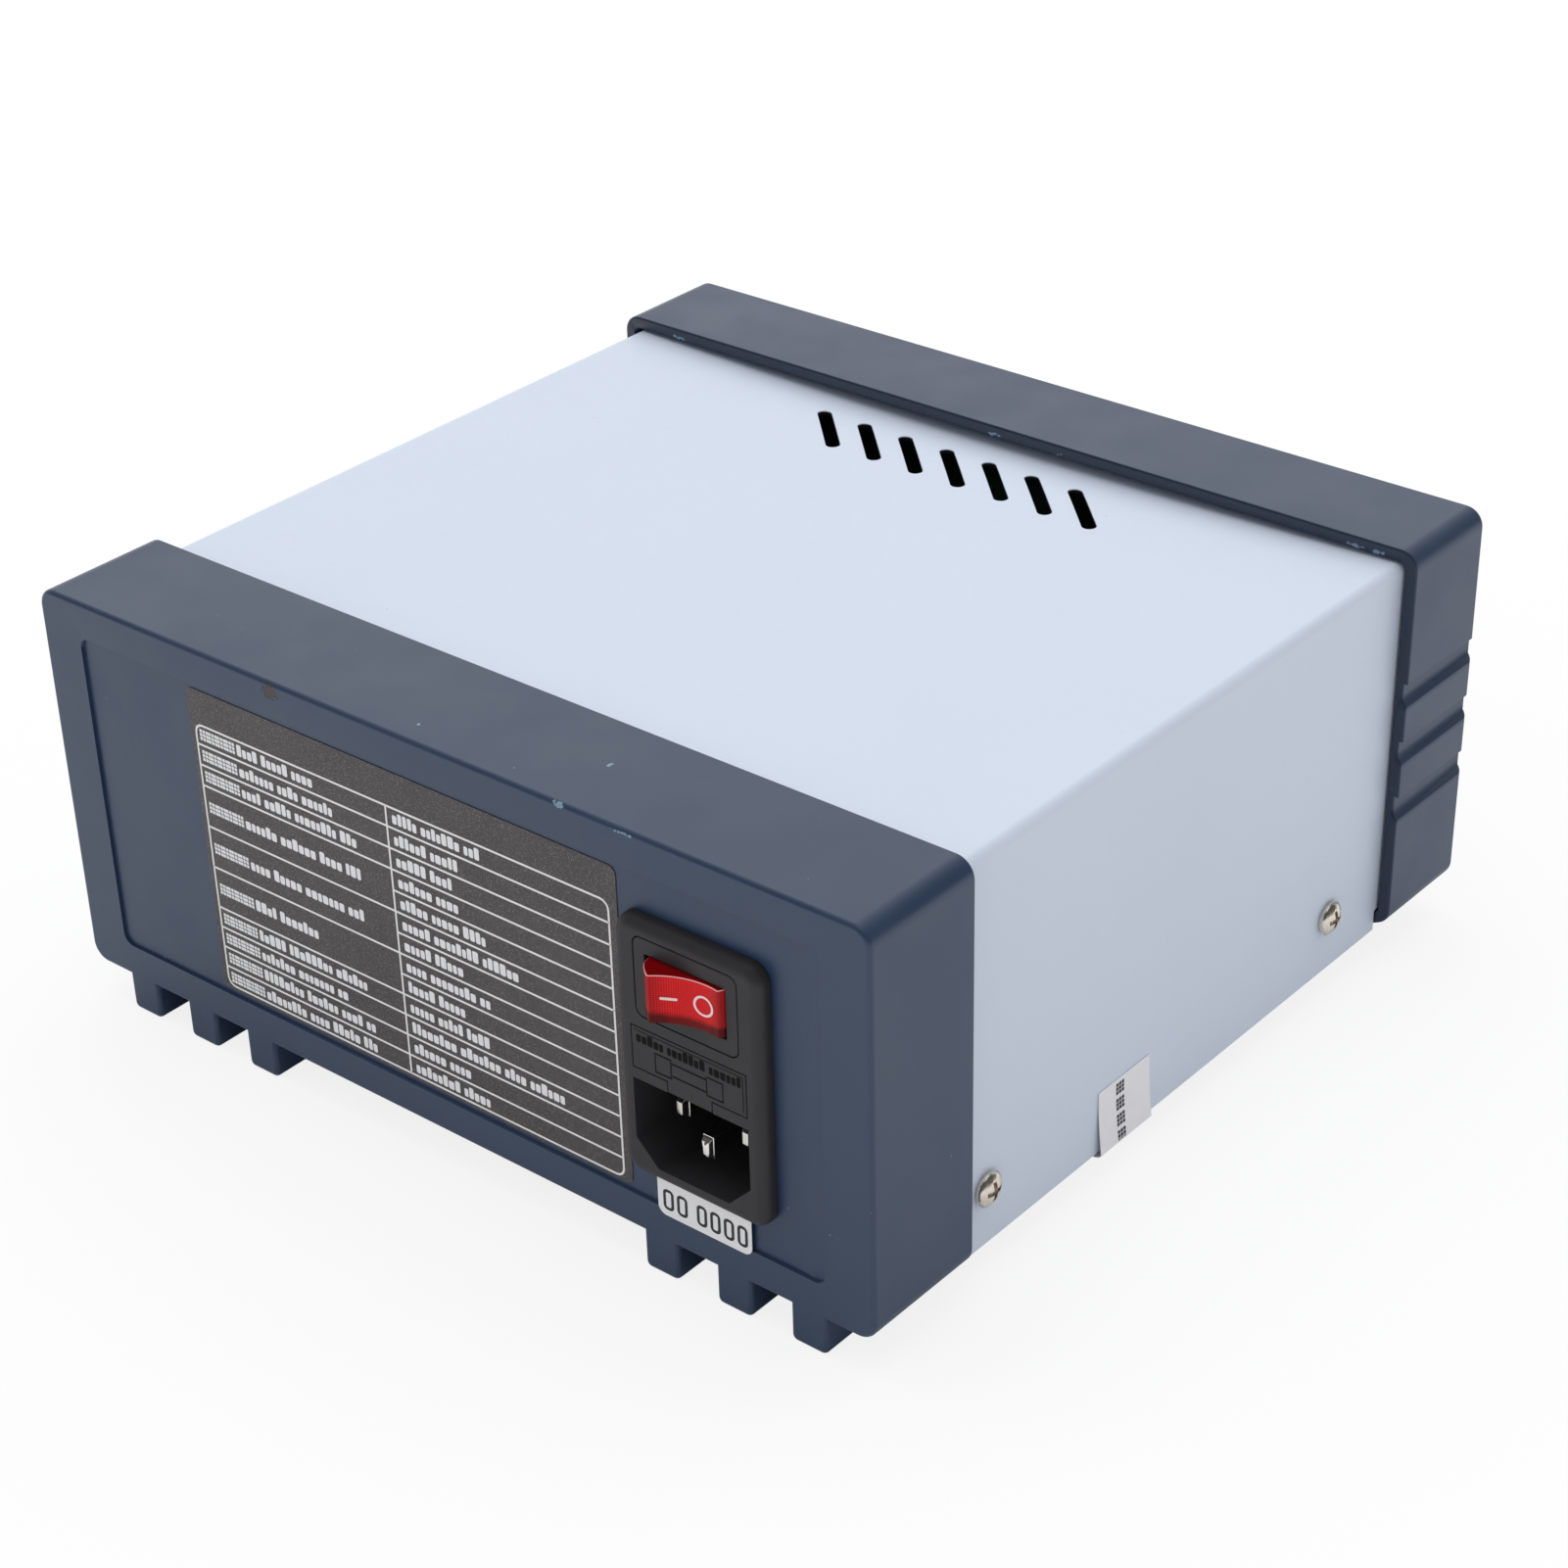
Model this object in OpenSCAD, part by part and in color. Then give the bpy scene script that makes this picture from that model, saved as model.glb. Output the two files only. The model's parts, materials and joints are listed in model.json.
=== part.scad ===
// Bench LCR meter: two moulded bezels joined by a folded steel cover and a steel tray.
// Millimetres. +Z is up and the front faces -Y. The origin is on the surface that the
// feet stand on, under the middle of the case. The two faces are drawn flat, with x to
// the right, y up from the underside of the case and z outwards, and then stood up.

/* [Case] */
// Width across the bezels
case_w = 188; // [180:1:230]
// Depth from the front face to the rear face
case_d = 179.8; // [170:0.1:240]
// Height of the bezels without their feet
case_h = 78; // [74:1:100]
// Radius of the four long corners
corner_r = 3.6; // [3:0.1:6]
// Small radius round each outer face
face_r = 0.9; // [0.5:0.1:1.5]
// Depth of the front bezel
front_d = 23.6; // [21:0.1:30]
// Depth of the rear bezel
rear_d = 26; // [20:0.5:32]
// Wall of the bezels
bezel_t = 3; // [2.6:0.1:3.6]
// Wall of the bezels round the cover
lip_t = 2.3; // [1.8:0.1:2.6]
// Gap between that wall and the cover
lip_gap = 0.6; // [0.3:0.1:0.8]
// Radius inside the corners of the bezels
room_r = 1; // [0.5:0.1:2]

/* [Panels] */
// Side margin of the sunk panel on each face
panel_side = 10; // [8:0.5:12]
// Margin of the sunk panel above and below
panel_edge = 7; // [6:0.5:8]
// Depth of the sunk panel
panel_sink = 0.6; // [0.5:0.1:1]
// Corner radius of the sunk panel
panel_r = 2.2; // [1:0.1:4]

/* [Feet] */
// Height of the feet
foot_h = 7.4; // [6:0.1:10]
// Width of one foot tooth
foot_w = 7.5; // [6:0.1:9]
// Distance between teeth
foot_pitch = 15.85; // [13:0.05:18]
// Teeth in each foot
foot_count = 3; // [2:1:3]
// Distance from the side of the case to the first tooth
foot_side = 10; // [8:0.5:14]
// Radius at the root of a tooth
foot_root_r = 1.3; // [1:0.1:2.5]
// Radius at the tip of a tooth
foot_tip_r = 1.2; // [1:0.1:1.5]

/* [Side grooves of the front bezel] */
// Number of grooves in each side
groove_count = 3; // [1:1:4]
// Distance between grooves
groove_pitch = 11.9; // [9:0.1:13]
// Height of a groove where it opens
groove_h = 4.7; // [4:0.1:6.5]
// Depth of a groove
groove_in = 0.9; // [0.4:0.1:0.9]
// Height of the middle of the grooves
groove_y = 37.7; // [34:0.1:42]

/* [Sheet metal] */
// Thickness of the cover and tray
sheet_t = 1; // [0.8:0.1:1.2]
// Outside bend radius of the cover
cover_r = 2; // [1.5:0.1:2.5]
// How far the cover reaches into each bezel
cover_reach = 6; // [4:0.5:8]
// How far the cover's sides hang below the case
cover_drop = 1.3; // [0:0.1:2]
// Play round sheet metal and boards
sheet_gap = 0.3; // [0.2:0.05:0.4]
// Height of the tray's side flanges
flange_h = 20; // [17:0.5:26]
// How far the tray's tongues reach into each bezel
tongue_reach = 14; // [13:0.5:16]

/* [Vents] */
// Number of vent slots
vent_count = 7; // [3:1:9]
// Distance between vent slots
vent_pitch = 10; // [8:0.5:12]
// Length of a vent slot
vent_l = 18; // [10:0.5:20]
// Width of a vent slot
vent_w = 2.8; // [1.5:0.1:3]
// Slant of the vent slots
vent_slant = 135; // [90:5:150]
// Sideways place of the middle slot
vent_x = -1.8; // [-10:0.1:10]
// Distance from the front bezel to the middle of the slots
vent_back = 14.6; // [12:0.1:30]

/* [Screws] */
// Shank radius of the M3 screws
screw_r = 1.45; // [1.3:0.05:1.6]
// Radial play of a screw in the hole that holds it
thread_gap = 0.05; // [0.05:0.01:0.1]
// Radial play of a screw in a clearance hole
clear_gap = 0.25; // [0.2:0.05:0.4]
// Head radius of the M3 screws
head_r = 3; // [2.6:0.1:3.2]
// Head height of the M3 screws
head_h = 2.2; // [1.8:0.1:2.6]
// Length of the M3 screws
screw_l = 7; // [6:0.5:8]
// Height of the cover screws above the case's underside
cover_screw_z = 10.4; // [8:0.1:13]
// Distance from the rear bezel to the nearer cover screw
cover_screw_rear = 7.3; // [5:0.1:20]
// Distance from the front bezel to the nearer cover screw
cover_screw_front = 17.9; // [6:0.1:30]

/* [Inlet] */
// Distance from the side of the sunk panel to the inlet's faceplate
inlet_side = 9.9; // [6:0.1:14]
// Width of its faceplate
plate_w = 30.4; // [30:0.1:32]
// Height of its faceplate
plate_h = 49.8; // [49.6:0.1:52]
// How far its faceplate stands on the panel
plate_t = 3.1; // [2.8:0.1:4]
// Corner radius of its faceplate
plate_r = 3.4; // [2.6:0.1:4]
// Edge radius of its faceplate
plate_edge_r = 2.2; // [0.5:0.1:2.3]
// Width of its body behind the panel
inlet_w = 27.4; // [26.4:0.1:28]
// Height of its body behind the panel
inlet_h = 47.2; // [46.4:0.1:48]
// Depth of its body behind the panel
inlet_d = 20; // [19:0.5:24]
// Play between moulded pieces of the inlet
fit_gap = 0.15; // [0.1:0.01:0.2]
// Width of the plug socket
socket_w = 24.2; // [23.6:0.1:24.6]
// Height of the plug socket
socket_h = 16.4; // [16:0.1:17]
// Chamfer at the lower corners of the socket
socket_cut = 4.6; // [3.5:0.1:5.5]
// Depth of the plug socket
socket_d = 20; // [18:0.5:21]
// Middle of the socket below the middle of the faceplate
socket_drop = 13.7; // [13.5:0.1:14]
// Distance between the line and neutral pins
pin_pitch = 14; // [13.5:0.1:14.5]
// Width of a pin
pin_w = 2; // [1.6:0.1:2.2]
// Height of a pin
pin_h = 4; // [3.6:0.1:4.2]
// Depth of the line and neutral tips in the socket
pin_sink = 5; // [4:0.1:7]
// Depth of the earth tip in the socket
earth_sink = 2.7; // [2:0.1:4]
// Length of the tabs behind the inlet
tab_l = 8; // [6:0.5:9]

/* [Fuse drawer] */
// Width of the drawer's face
drawer_w = 24.1; // [23.4:0.1:24.6]
// Height of the drawer's face
drawer_h = 8.3; // [8.1:0.1:8.6]
// Middle of the drawer above the middle of the faceplate
drawer_y = 0.8; // [0.6:0.1:1]
// Depth of the drawer behind its face
drawer_d = 16; // [14:0.5:17]
// Thickness of the drawer's face
drawer_t = 2.3; // [1.8:0.1:2.6]
// Width of its finger tab
drawer_tab_w = 9.2; // [7:0.1:11]
// Radius of the fuse
fuse_r = 2.6; // [2.4:0.05:2.65]
// Length of the fuse
fuse_l = 20; // [18:0.5:20.5]
// Length of a fuse cap
fuse_cap_l = 5.5; // [4:0.5:6]

/* [Switch] */
// Width of the switch frame
switch_w = 21.2; // [20.8:0.1:21.6]
// Height of the switch frame
switch_h = 15; // [14.6:0.1:15.4]
// Corner radius of the switch frame
switch_r = 1.6; // [0.5:0.1:2]
// Middle of the switch above the middle of the faceplate
switch_y = 14.8; // [14.6:0.1:15]
// Width of the window for the rocker
window_w = 16.6; // [15:0.1:16.8]
// Height of the window for the rocker
window_h = 9.3; // [9:0.1:9.6]
// Depth of the rocker's pivot behind the face
pivot_in = 3.55; // [3.2:0.05:4]
// Tilt of the rocker to each side
rocker_tilt = 16; // [12:0.5:18]
// Angle from the middle of the rocker to each edge, at the pivot
rocker_half = 44; // [42:0.5:46]
// Radius of the rocker's hollow face
rocker_face_r = 13.5; // [12.5:0.5:30]
// Radius of the rocker's pivot stubs
stub_r = 1.3; // [1:0.1:1.6]

/* [Labels] */
// Width of the rating label
label_w = 99.6; // [85:0.1:101]
// Margin of the sunk panel above and below the rating label
label_edge = 1.05; // [0.3:0.05:4]
// Gap between the rating label and the inlet
label_gap = 1.1; // [0.3:0.1:4]
// Corner radius of the rating label
label_r = 1.5; // [0.5:0.1:3]
// Thickness of the labels
label_t = 0.15; // [0.1:0.01:0.2]
// Width of the voltage sticker
sticker_w = 20.2; // [16:0.1:24]
// Middle of the voltage sticker to the left of the inlet's, seen from behind
sticker_off = 0.1; // [-4:0.1:4]
// Corner radius of the voltage sticker
sticker_r = 1.7; // [0.5:0.1:2]
// Height of the voltage sticker's lower edge
sticker_low = 5.9; // [4:0.1:6]
// Width of the tamper seal
seal_w = 15.2; // [10:0.1:18]
// Height of the tamper seal's upper edge
seal_top = 11.4; // [8:0.1:14]
// Distance from the rear bezel to the middle of the seal
seal_back = 46.8; // [30:0.1:60]
// How far the seal bows out at the fold
seal_bow = 0.9; // [0.5:0.1:1.4]
// How far the seal reaches under the tray
seal_under = 8; // [5:0.5:20]

/* [Front panel] */
// Thickness of the front overlay
overlay_t = 0.4; // [0.3:0.05:0.5]
// Height of the display window
screen_h = 40; // [34:1:42]
// Distance from the side of the sunk panel to the display window
screen_side = 7; // [5:0.5:10]
// Gap between the display window and the keys
screen_gap = 16; // [12:0.5:24]
// Depth of the front board behind the face
board_in = 13; // [12:0.5:14]
// Thickness of the circuit boards
board_t = 1.6; // [1.2:0.1:2]
// Width of a key
key_w = 16; // [12:0.5:18]
// Height of a key
key_h = 9; // [7:0.5:10]
// How far a key stands proud of the overlay
key_proud = 1.4; // [1:0.1:2]
// Travel of a key
key_travel = 0.7; // [0.4:0.1:0.9]
// Distance between the two rows of keys
key_row = 14; // [13:0.5:16]
// Height of the lower row of keys
key_low = 46; // [44:0.5:48]
// Gap round a key
key_gap = 0.25; // [0.2:0.05:0.4]

/* [Measuring jacks] */
// Distance between jacks
jack_pitch = 22; // [20:0.5:22]
// Distance from the side of the sunk panel to the middle of the last jack
jack_side = 8; // [8:0.5:10]
// Height of the jacks
jack_y = 22; // [20:0.5:23]
// Radius of the jack's barrel
jack_r = 4.8; // [4.6:0.05:5]
// Length of the jack's barrel
jack_l = 13; // [11:0.5:16]
// Radius of the jack's flange
jack_flange_r = 7.2; // [6.5:0.1:7.5]
// Thickness of the jack's flange
jack_flange_t = 2; // [1.5:0.1:3]
// Radius of the space round the jack's core
jack_bore_r = 4.1; // [3.9:0.05:4.2]
// Length of the thread behind the panel
thread_l = 9.5; // [9:0.5:10]

/* [Boards] */
// Height of the standoffs
standoff_h = 5.5; // [5:0.5:10]
// Radius across the corners of a standoff
standoff_r = 2.9; // [2.6:0.1:3.5]
// Length of the main board
main_l = 96; // [90:1:98]
// Gap between the main board and the power board
board_gap = 17.6; // [12:0.1:24]
// Length of the power board
power_l = 88; // [80:1:92]
// Width of the power board
power_w = 50; // [46:1:54]
// Distance from a board's edge to its screws
board_edge = 4; // [3.5:0.5:5]
// Radius of the leads
lead_r = 0.9; // [0.6:0.1:1]

/* [Hidden] */
$fn = 48;
hair = 0.05;                     // clearance between pieces that touch
eps = 1;                         // how far a cut runs past a face

panel_w = case_w - 2*panel_side;
panel_h = case_h - 2*panel_edge;

// Inlet
inlet_x = panel_w/2 - inlet_side - plate_w/2;
inlet_y = case_h/2;
inlet_back = -inlet_d;
socket_back = plate_t - socket_d;
pin_up = 1.4;                    // line and neutral above the socket's middle
earth_down = 2.6;                // earth below the socket's middle
pin_at = [[-pin_pitch/2, pin_up - socket_drop], [pin_pitch/2, pin_up - socket_drop],
    [0, -earth_down - socket_drop]];
drawer_tab_low = socket_h/2 - socket_drop;
drawer_tab_h = drawer_y - drawer_h/2 - drawer_tab_low;
drawer_body_h = drawer_h - 1;
fuse_z = -drawer_d/2;

// Switch
switch_d = 17;                   // depth of the switch body
switch_lip = 0.6;                // thin edge round the rocker's window
switch_flange_t = 1.6;
switch_body_w = window_w + 2.8;
switch_body_h = window_h + 3.4;
pivot_z = plate_t - pivot_in;
rocker_h = window_h - 2*fit_gap;
rocker_r = sqrt(pow(window_w/2, 2) + pow(pivot_in - switch_lip, 2)) - fit_gap;
rocker_tip = [rocker_r*sin(rocker_half), rocker_r*cos(rocker_half)];

// Case: all of it, from the tips of the jacks to the rocker, is centred from front to back
front_out = jack_l + overlay_t - panel_sink;
rear_out = rocker_r*cos(rocker_half - rocker_tilt) + pivot_z - panel_sink;
y_front = (front_out - rear_out - case_d)/2;
y_rear = y_front + case_d;
y_front_in = y_front + front_d;  // open end of the front bezel
y_rear_in = y_rear - rear_d;     // open end of the rear bezel
cover_in = lip_t + lip_gap;      // cover's outer face, in from the bezel's
cover_top = case_h - cover_in;
cover_side = case_w/2 - cover_in;
foot_x = case_w/2 - foot_side - foot_w/2;

// Tray
tray_side = cover_side - sheet_t - sheet_gap;
tongue_side = min(case_w/2 - bezel_t - room_r, tray_side);
floor_y0 = y_front_in + sheet_gap;
floor_y1 = y_rear_in - sheet_gap;
bezel_screw_in = tongue_reach - 1.5*head_r;
bezel_screw_y = [y_front_in - bezel_screw_in, y_rear_in + bezel_screw_in];
cover_screw_y = [y_rear_in - cover_screw_rear, y_front_in + cover_screw_front];
stud_r = 2;
stud_at = [-tray_side + 7, floor_y1 - 8];

// Labels
label_h = panel_h - 2*label_edge;
label_x = label_w/2 + label_gap + plate_w/2 - inlet_x;
sticker_x = inlet_x - sticker_off;

// The seal's inner face, outwards and up from the cover's side
seal_steps = 5;
seal_path = concat(
    [for (k = [0 : seal_steps]) [-seal_bow*(1 - cos(90*k/seal_steps)),
        seal_top - (seal_top + cover_drop)*k/seal_steps]],
    [[-seal_bow/2, -cover_drop - seal_bow/2], [seal_bow/2, -cover_drop - 0.8*seal_bow],
        [3*seal_bow, -cover_drop - seal_bow/2], [seal_under, -hair]]);

// Front panel
overlay_z = overlay_t - panel_sink;
boss_r = 3;
boss_x = case_w/2 - bezel_t - boss_r - 8;
boss_y = bezel_t + boss_r + 4;
window_t = 1.5;                  // flange of the display window
lens_z = -bezel_t - window_t;
lcd_top_t = 0.6;                 // face of the display frame
lcd_glass_t = 2;
jack_mid = panel_w/2 - jack_side - 1.5*jack_pitch;
key_x = [jack_mid - jack_pitch, jack_mid, jack_mid + jack_pitch];
screen_left = screen_side - panel_w/2;
screen_w = key_x[0] - key_w/2 - screen_gap - screen_left;
screen_x = -screen_left - screen_w/2;
lcd_w = screen_w + 6;
lcd_h = screen_h + 6;
key_flange_t = 1.2;
key_lip = 0.8;                   // how far a key's flange reaches behind the wall
tact_t = 3.5;
tact_w = 6;
tact_top = -board_in + tact_t;
post_r = 1.7;

// Jacks
jack_thread_r = jack_r - 0.3;
jack_body_r = jack_r + 0.2;      // barrel behind its nose, where the lugs stand
jack_core_r = 3;
jack_nose_r = 2.4;
jack_contact_r = 1.05;
jack_nose_l = 4.4;               // nose in front of the lugs
jack_lug_r = 1;
jack_lug_in = jack_nose_l + jack_lug_r + 0.1;
washer_t = 0.8;
nut_t = 2.5;
nut_r = 8;
tail_r = 0.6;
tail_l = 7.5;

// Boards
board_z = sheet_t + standoff_h;  // underside of the main and power boards
board_top = board_z + board_t;
main_side = 1;                   // boards to the tray's sides
power_side = 3;
main_w = 2*(tray_side - sheet_t) - main_side - board_gap - power_w - power_side;
main_x = tray_side - sheet_t - main_side - main_w/2;
main_y = floor_y0 + main_l/2 + 9;
power_x = -(tray_side - sheet_t - power_side - power_w/2);
power_y = floor_y0 + power_l/2 + 17;
holder_x = -inlet_x;             // the inlet's place on the X axis
terminal_y = power_y + power_l/2 - 8;
terminal_size = [24, 9, 10];
header_size = [22, 6, 6];
processor_size = [14, 14, 1.6];
chip_size = [10, 7, 1.6];
chip_step = 14;                  // chips apart
relay_size = [10, 20, 10];
relay_step = 18;                 // relays apart
relay_in = 16;                   // parts in from the board's edges
film_size = [8, 18, 13];
film_step = 12;
film_in = 15;
film_x = main_x - main_w/2 + film_in;
processor_x = film_x + film_step + chip_step;
trafo_size = [24, 20, 19];
trafo_y = 12;                    // transformer in front of the board's middle
bulk_r = 7;                      // large and small capacitors
bulk_h = 24;
bulk_x = 10;
cap_r = 4;
cap_h = 14;
cap_step = 12;
cap_in = 7;
cap_y = 30;
header_x = main_x - 20;
header_y = main_y - main_l/2 + header_size[1] + 2;
header_up = 4;                   // front header above the middle of the case
tab_y = y_rear - panel_sink - inlet_d - tab_l - hair;

// ---- places ----

module in_case() translate([0, 0, foot_h]) children();

module on_front() translate([0, y_front, foot_h]) rotate([90, 0, 0]) children();

module on_rear() translate([0, y_rear, foot_h]) rotate([90, 0, 180]) children();

// Middle of the inlet's faceplate, where it sits on the rear panel
module on_inlet() on_rear() translate([inlet_x, inlet_y, -panel_sink]) children();

// Middle of jack k on the overlay
module on_jack(k)
    on_front() translate([jack_mid + (k - 2.5)*jack_pitch, jack_y, overlay_z]) children();

// Middle of key k on the overlay: 1 to 3 above, 4 to 6 below
module on_key(k)
    on_front()
        translate([key_x[(k - 1) % 3], key_low + (k <= 3 ? key_row : 0), overlay_z]) children();

// The four bosses behind the front face
module at_bosses()
    for (x = [-1, 1], y = [boss_y, case_h - boss_y]) translate([x*boss_x, y]) children();

// The four corners of a board
module at_board_corners(l, w, x0, y0)
    for (x = [-1, 1], y = [-1, 1])
        translate([x0 + x*(w/2 - board_edge), y0 + y*(l/2 - board_edge)]) children();

module at_all_board_corners() {
    at_board_corners(main_l, main_w, main_x, main_y) children();
    at_board_corners(power_l, power_w, power_x, power_y) children();
}

// ---- shapes ----

module rounded_rect(w, h, r) {
    square([w - 2*r, h], center = true);
    square([w, h - 2*r], center = true);
    for (x = [-1, 1], y = [-1, 1]) translate([x*(w/2 - r), y*(h/2 - r)]) circle(r);
}

// Side view of a block d deep whose top edges are rounded
module soft_profile(w, d, r) {
    translate([-w/2, -d]) square([w, d - r]);
    translate([r - w/2, -d]) square([w - 2*r, d]);
    intersection() {
        translate([-w/2, -d]) square([w, d]);
        for (x = [-1, 1]) translate([x*(w/2 - r), -r]) circle(r);
    }
}

// Block from z = -d to 0 with upright corners of radius r and a face edge of radius edge
module soft_block(w, h, d, r, edge) {
    rotate([90, 0, 0]) linear_extrude(h - 2*r, center = true) soft_profile(w, d, edge);
    rotate([90, 0, 90]) linear_extrude(w - 2*r, center = true) soft_profile(h, d, edge);
    for (x = [-1, 1], y = [-1, 1])
        translate([x*(w/2 - r), y*(h/2 - r), 0]) rotate_extrude() intersection() {
            soft_profile(2*r, d, edge);
            translate([0, -d]) square([r, d]);
        }
}

module slot_2d(l, w) {
    square([l - w, w], center = true);
    for (x = [-1, 1]) translate([x*(l - w)/2, 0]) circle(w/2);
}

// Pan-head screw: the head stands on z = 0 and the shank points down
module pan_screw(l, r, hr, hh) {
    rim = 0.4*hh;
    dome = (hr*hr + pow(hh - rim, 2))/(2*(hh - rim));
    translate([0, 0, -l]) cylinder(l + hair, r = r);
    difference() {
        intersection() {
            cylinder(hh, r = hr);
            translate([0, 0, hh - dome]) sphere(dome);
        }
        for (a = [0, 90]) rotate(a)
            translate([-hr*0.55, -hr*0.13, hh*0.45]) cube([hr*1.1, hr*0.26, hh]);
    }
}

// Round wire through a list of points
module lead(points, r) {
    for (i = [1 : len(points) - 1]) {
        v = points[i] - points[i - 1];
        translate(points[i - 1]) rotate([0, acos(v[2]/norm(v)), atan2(v[1], v[0])])
            cylinder(norm(v), r = r);
    }
    if (len(points) > 2) for (i = [1 : len(points) - 2]) translate(points[i]) sphere(r + hair);
}

// ---- bezels ----

module foot_roots_2d() for (x = [-1, 1])
    translate([x*(foot_w + foot_root_r)/2, 0]) difference() {
        translate([-foot_root_r/2, -foot_root_r]) square([foot_root_r, foot_root_r + eps]);
        translate([x*foot_root_r/2, -foot_root_r]) circle(foot_root_r);
    }

module foot_combs(d)
    for (side = [-1, 1], k = [0 : foot_count - 1])
        translate([side*(foot_x - k*foot_pitch), 0, 0]) {
            translate([0, (bezel_t - foot_h)/2, 0])
                soft_block(foot_w, foot_h + bezel_t, d, foot_tip_r, face_r);
            translate([0, 0, -d]) linear_extrude(d - face_r) foot_roots_2d();
        }

// Bezel d deep with its feet, its sunk panel and the seats for the cover and tray
module bezel_shell(d) {
    difference() {
        union() {
            translate([0, case_h/2, 0]) soft_block(case_w, case_h, d, corner_r, face_r);
            foot_combs(d);
        }
        translate([0, case_h/2, -d - eps]) {
            linear_extrude(d + eps - bezel_t)
                rounded_rect(case_w - 2*bezel_t, case_h - 2*bezel_t, room_r);
            linear_extrude(cover_reach + sheet_gap + eps)
                rounded_rect(case_w - 2*lip_t, case_h - 2*lip_t, corner_r - lip_t);
        }
        translate([0, case_h/2, -panel_sink]) linear_extrude(panel_sink + eps)
            rounded_rect(panel_w, panel_h, panel_r);
        for (x = [-1, 1])
            translate([x*foot_x, bezel_t + eps, bezel_screw_in - d])
                rotate([90, 0, 0]) cylinder(screw_l + eps, r = screw_r + thread_gap);
    }
}

module side_grooves_2d()
    for (side = [0, 1], k = [0 : groove_count - 1]) mirror([side, 0])
        translate([case_w/2, groove_y + (k - (groove_count - 1)/2)*groove_pitch])
            polygon([[eps, -groove_h/2 - eps], [0, -groove_h/2],
                [-groove_in, 1.3*groove_in - groove_h/2], [-groove_in, groove_h/2], [eps, groove_h/2]]);

module front_bezel() color("#2f3c50") on_front() {
    difference() {
        union() {
            bezel_shell(front_d);
            translate([0, 0, -board_in]) linear_extrude(board_in - bezel_t + hair)
                at_bosses() circle(boss_r);
        }
        translate([0, 0, -front_d - eps]) linear_extrude(front_d + 2*eps) side_grooves_2d();
        translate([0, 0, -board_in - eps]) linear_extrude(screw_l + eps - board_t)
            at_bosses() circle(screw_r + thread_gap);
        translate([-screen_x, case_h/2, -bezel_t - eps]) linear_extrude(bezel_t + 2*eps)
            square([screen_w, screen_h], center = true);
        for (k = [1 : 4]) translate([jack_mid + (k - 2.5)*jack_pitch, jack_y, -bezel_t - eps])
            cylinder(bezel_t + 2*eps, r = jack_thread_r + clear_gap);
        translate([0, 0, -bezel_t - eps]) linear_extrude(bezel_t + 2*eps) key_holes_2d();
    }
}

module key_holes_2d()
    for (x = key_x, y = [key_low, key_low + key_row])
        translate([x, y]) square([key_w + 2*key_gap, key_h + 2*key_gap], center = true);

module rear_bezel() color("#2f3c50") on_rear() {
    difference() {
        bezel_shell(rear_d);
        translate([inlet_x, inlet_y, -bezel_t - eps]) linear_extrude(bezel_t + 2*eps)
            square([inlet_w + 2*fit_gap, inlet_h + 2*fit_gap], center = true);
    }
}

// ---- sheet metal ----

// Outline of the cover, moved in by inset
module cover_outline(inset) {
    r = cover_r - inset;
    side = cover_side - inset;
    top = cover_top - inset;
    translate([-side, -cover_drop - inset]) square([2*side, top - r + cover_drop + inset]);
    translate([r - side, -cover_drop - inset])
        square([2*(side - r), top + cover_drop + inset]);
    for (x = [-1, 1]) translate([x*(side - r), top - r]) circle(r);
}

module cover_screw_holes(r)
    for (y = cover_screw_y) translate([0, y, cover_screw_z]) rotate([0, 90, 0])
        cylinder(case_w, r = r, center = true);

module top_cover() color("#cfd8e6") in_case() {
    y0 = y_front_in - cover_reach;
    y1 = y_rear_in + cover_reach;
    difference() {
        translate([0, y1, 0]) rotate([90, 0, 0]) linear_extrude(y1 - y0) difference() {
            cover_outline(0);
            cover_outline(sheet_t);
        }
        // the ends step up over the bezels' lower lips
        for (y = [y0 - eps, y_rear_in - sheet_gap])
            translate([-case_w/2, y, -cover_drop - eps])
                cube([case_w, cover_reach + sheet_gap + eps, cover_drop + eps + cover_in]);
        for (k = [0 : vent_count - 1])
            translate([vent_x + (k - (vent_count - 1)/2)*vent_pitch, y_front_in + vent_back,
                    cover_top - 2*sheet_t])
                rotate(vent_slant) linear_extrude(3*sheet_t) slot_2d(vent_l, vent_w);
        cover_screw_holes(screw_r + clear_gap);
    }
}

module bottom_tray() color("#b9bcc0") in_case() {
    difference() {
        union() {
            translate([-tray_side, floor_y0, 0])
                cube([2*tray_side, floor_y1 - floor_y0, sheet_t]);
            // each end steps up onto the floor of its bezel
            for (y = [floor_y0, floor_y1 - sheet_t])
                translate([-tray_side, y, 0]) cube([2*tray_side, sheet_t, bezel_t + sheet_t]);
            for (y = [y_front_in - tongue_reach, floor_y1 - sheet_t])
                translate([-tongue_side, y, bezel_t])
                    cube([2*tongue_side, tongue_reach + sheet_gap + sheet_t, sheet_t]);
            for (x = [-tray_side, tray_side - sheet_t])
                translate([x, floor_y0, 0]) cube([sheet_t, floor_y1 - floor_y0, flange_h]);
            translate([stud_at[0], stud_at[1], 0]) cylinder(9, r = stud_r);
        }
        cover_screw_holes(screw_r + thread_gap);
        for (x = [-foot_x, foot_x], y = bezel_screw_y)
            translate([x, y, bezel_t - eps]) cylinder(sheet_t + 2*eps, r = screw_r + clear_gap);
    }
}

module cover_screws() color("#c8c2b6") in_case()
    for (y = cover_screw_y, side = [-1, 1])
        translate([side*cover_side, y, cover_screw_z]) rotate([0, side*90, 0])
            pan_screw(screw_l - eps, screw_r, head_r, head_h);

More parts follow.
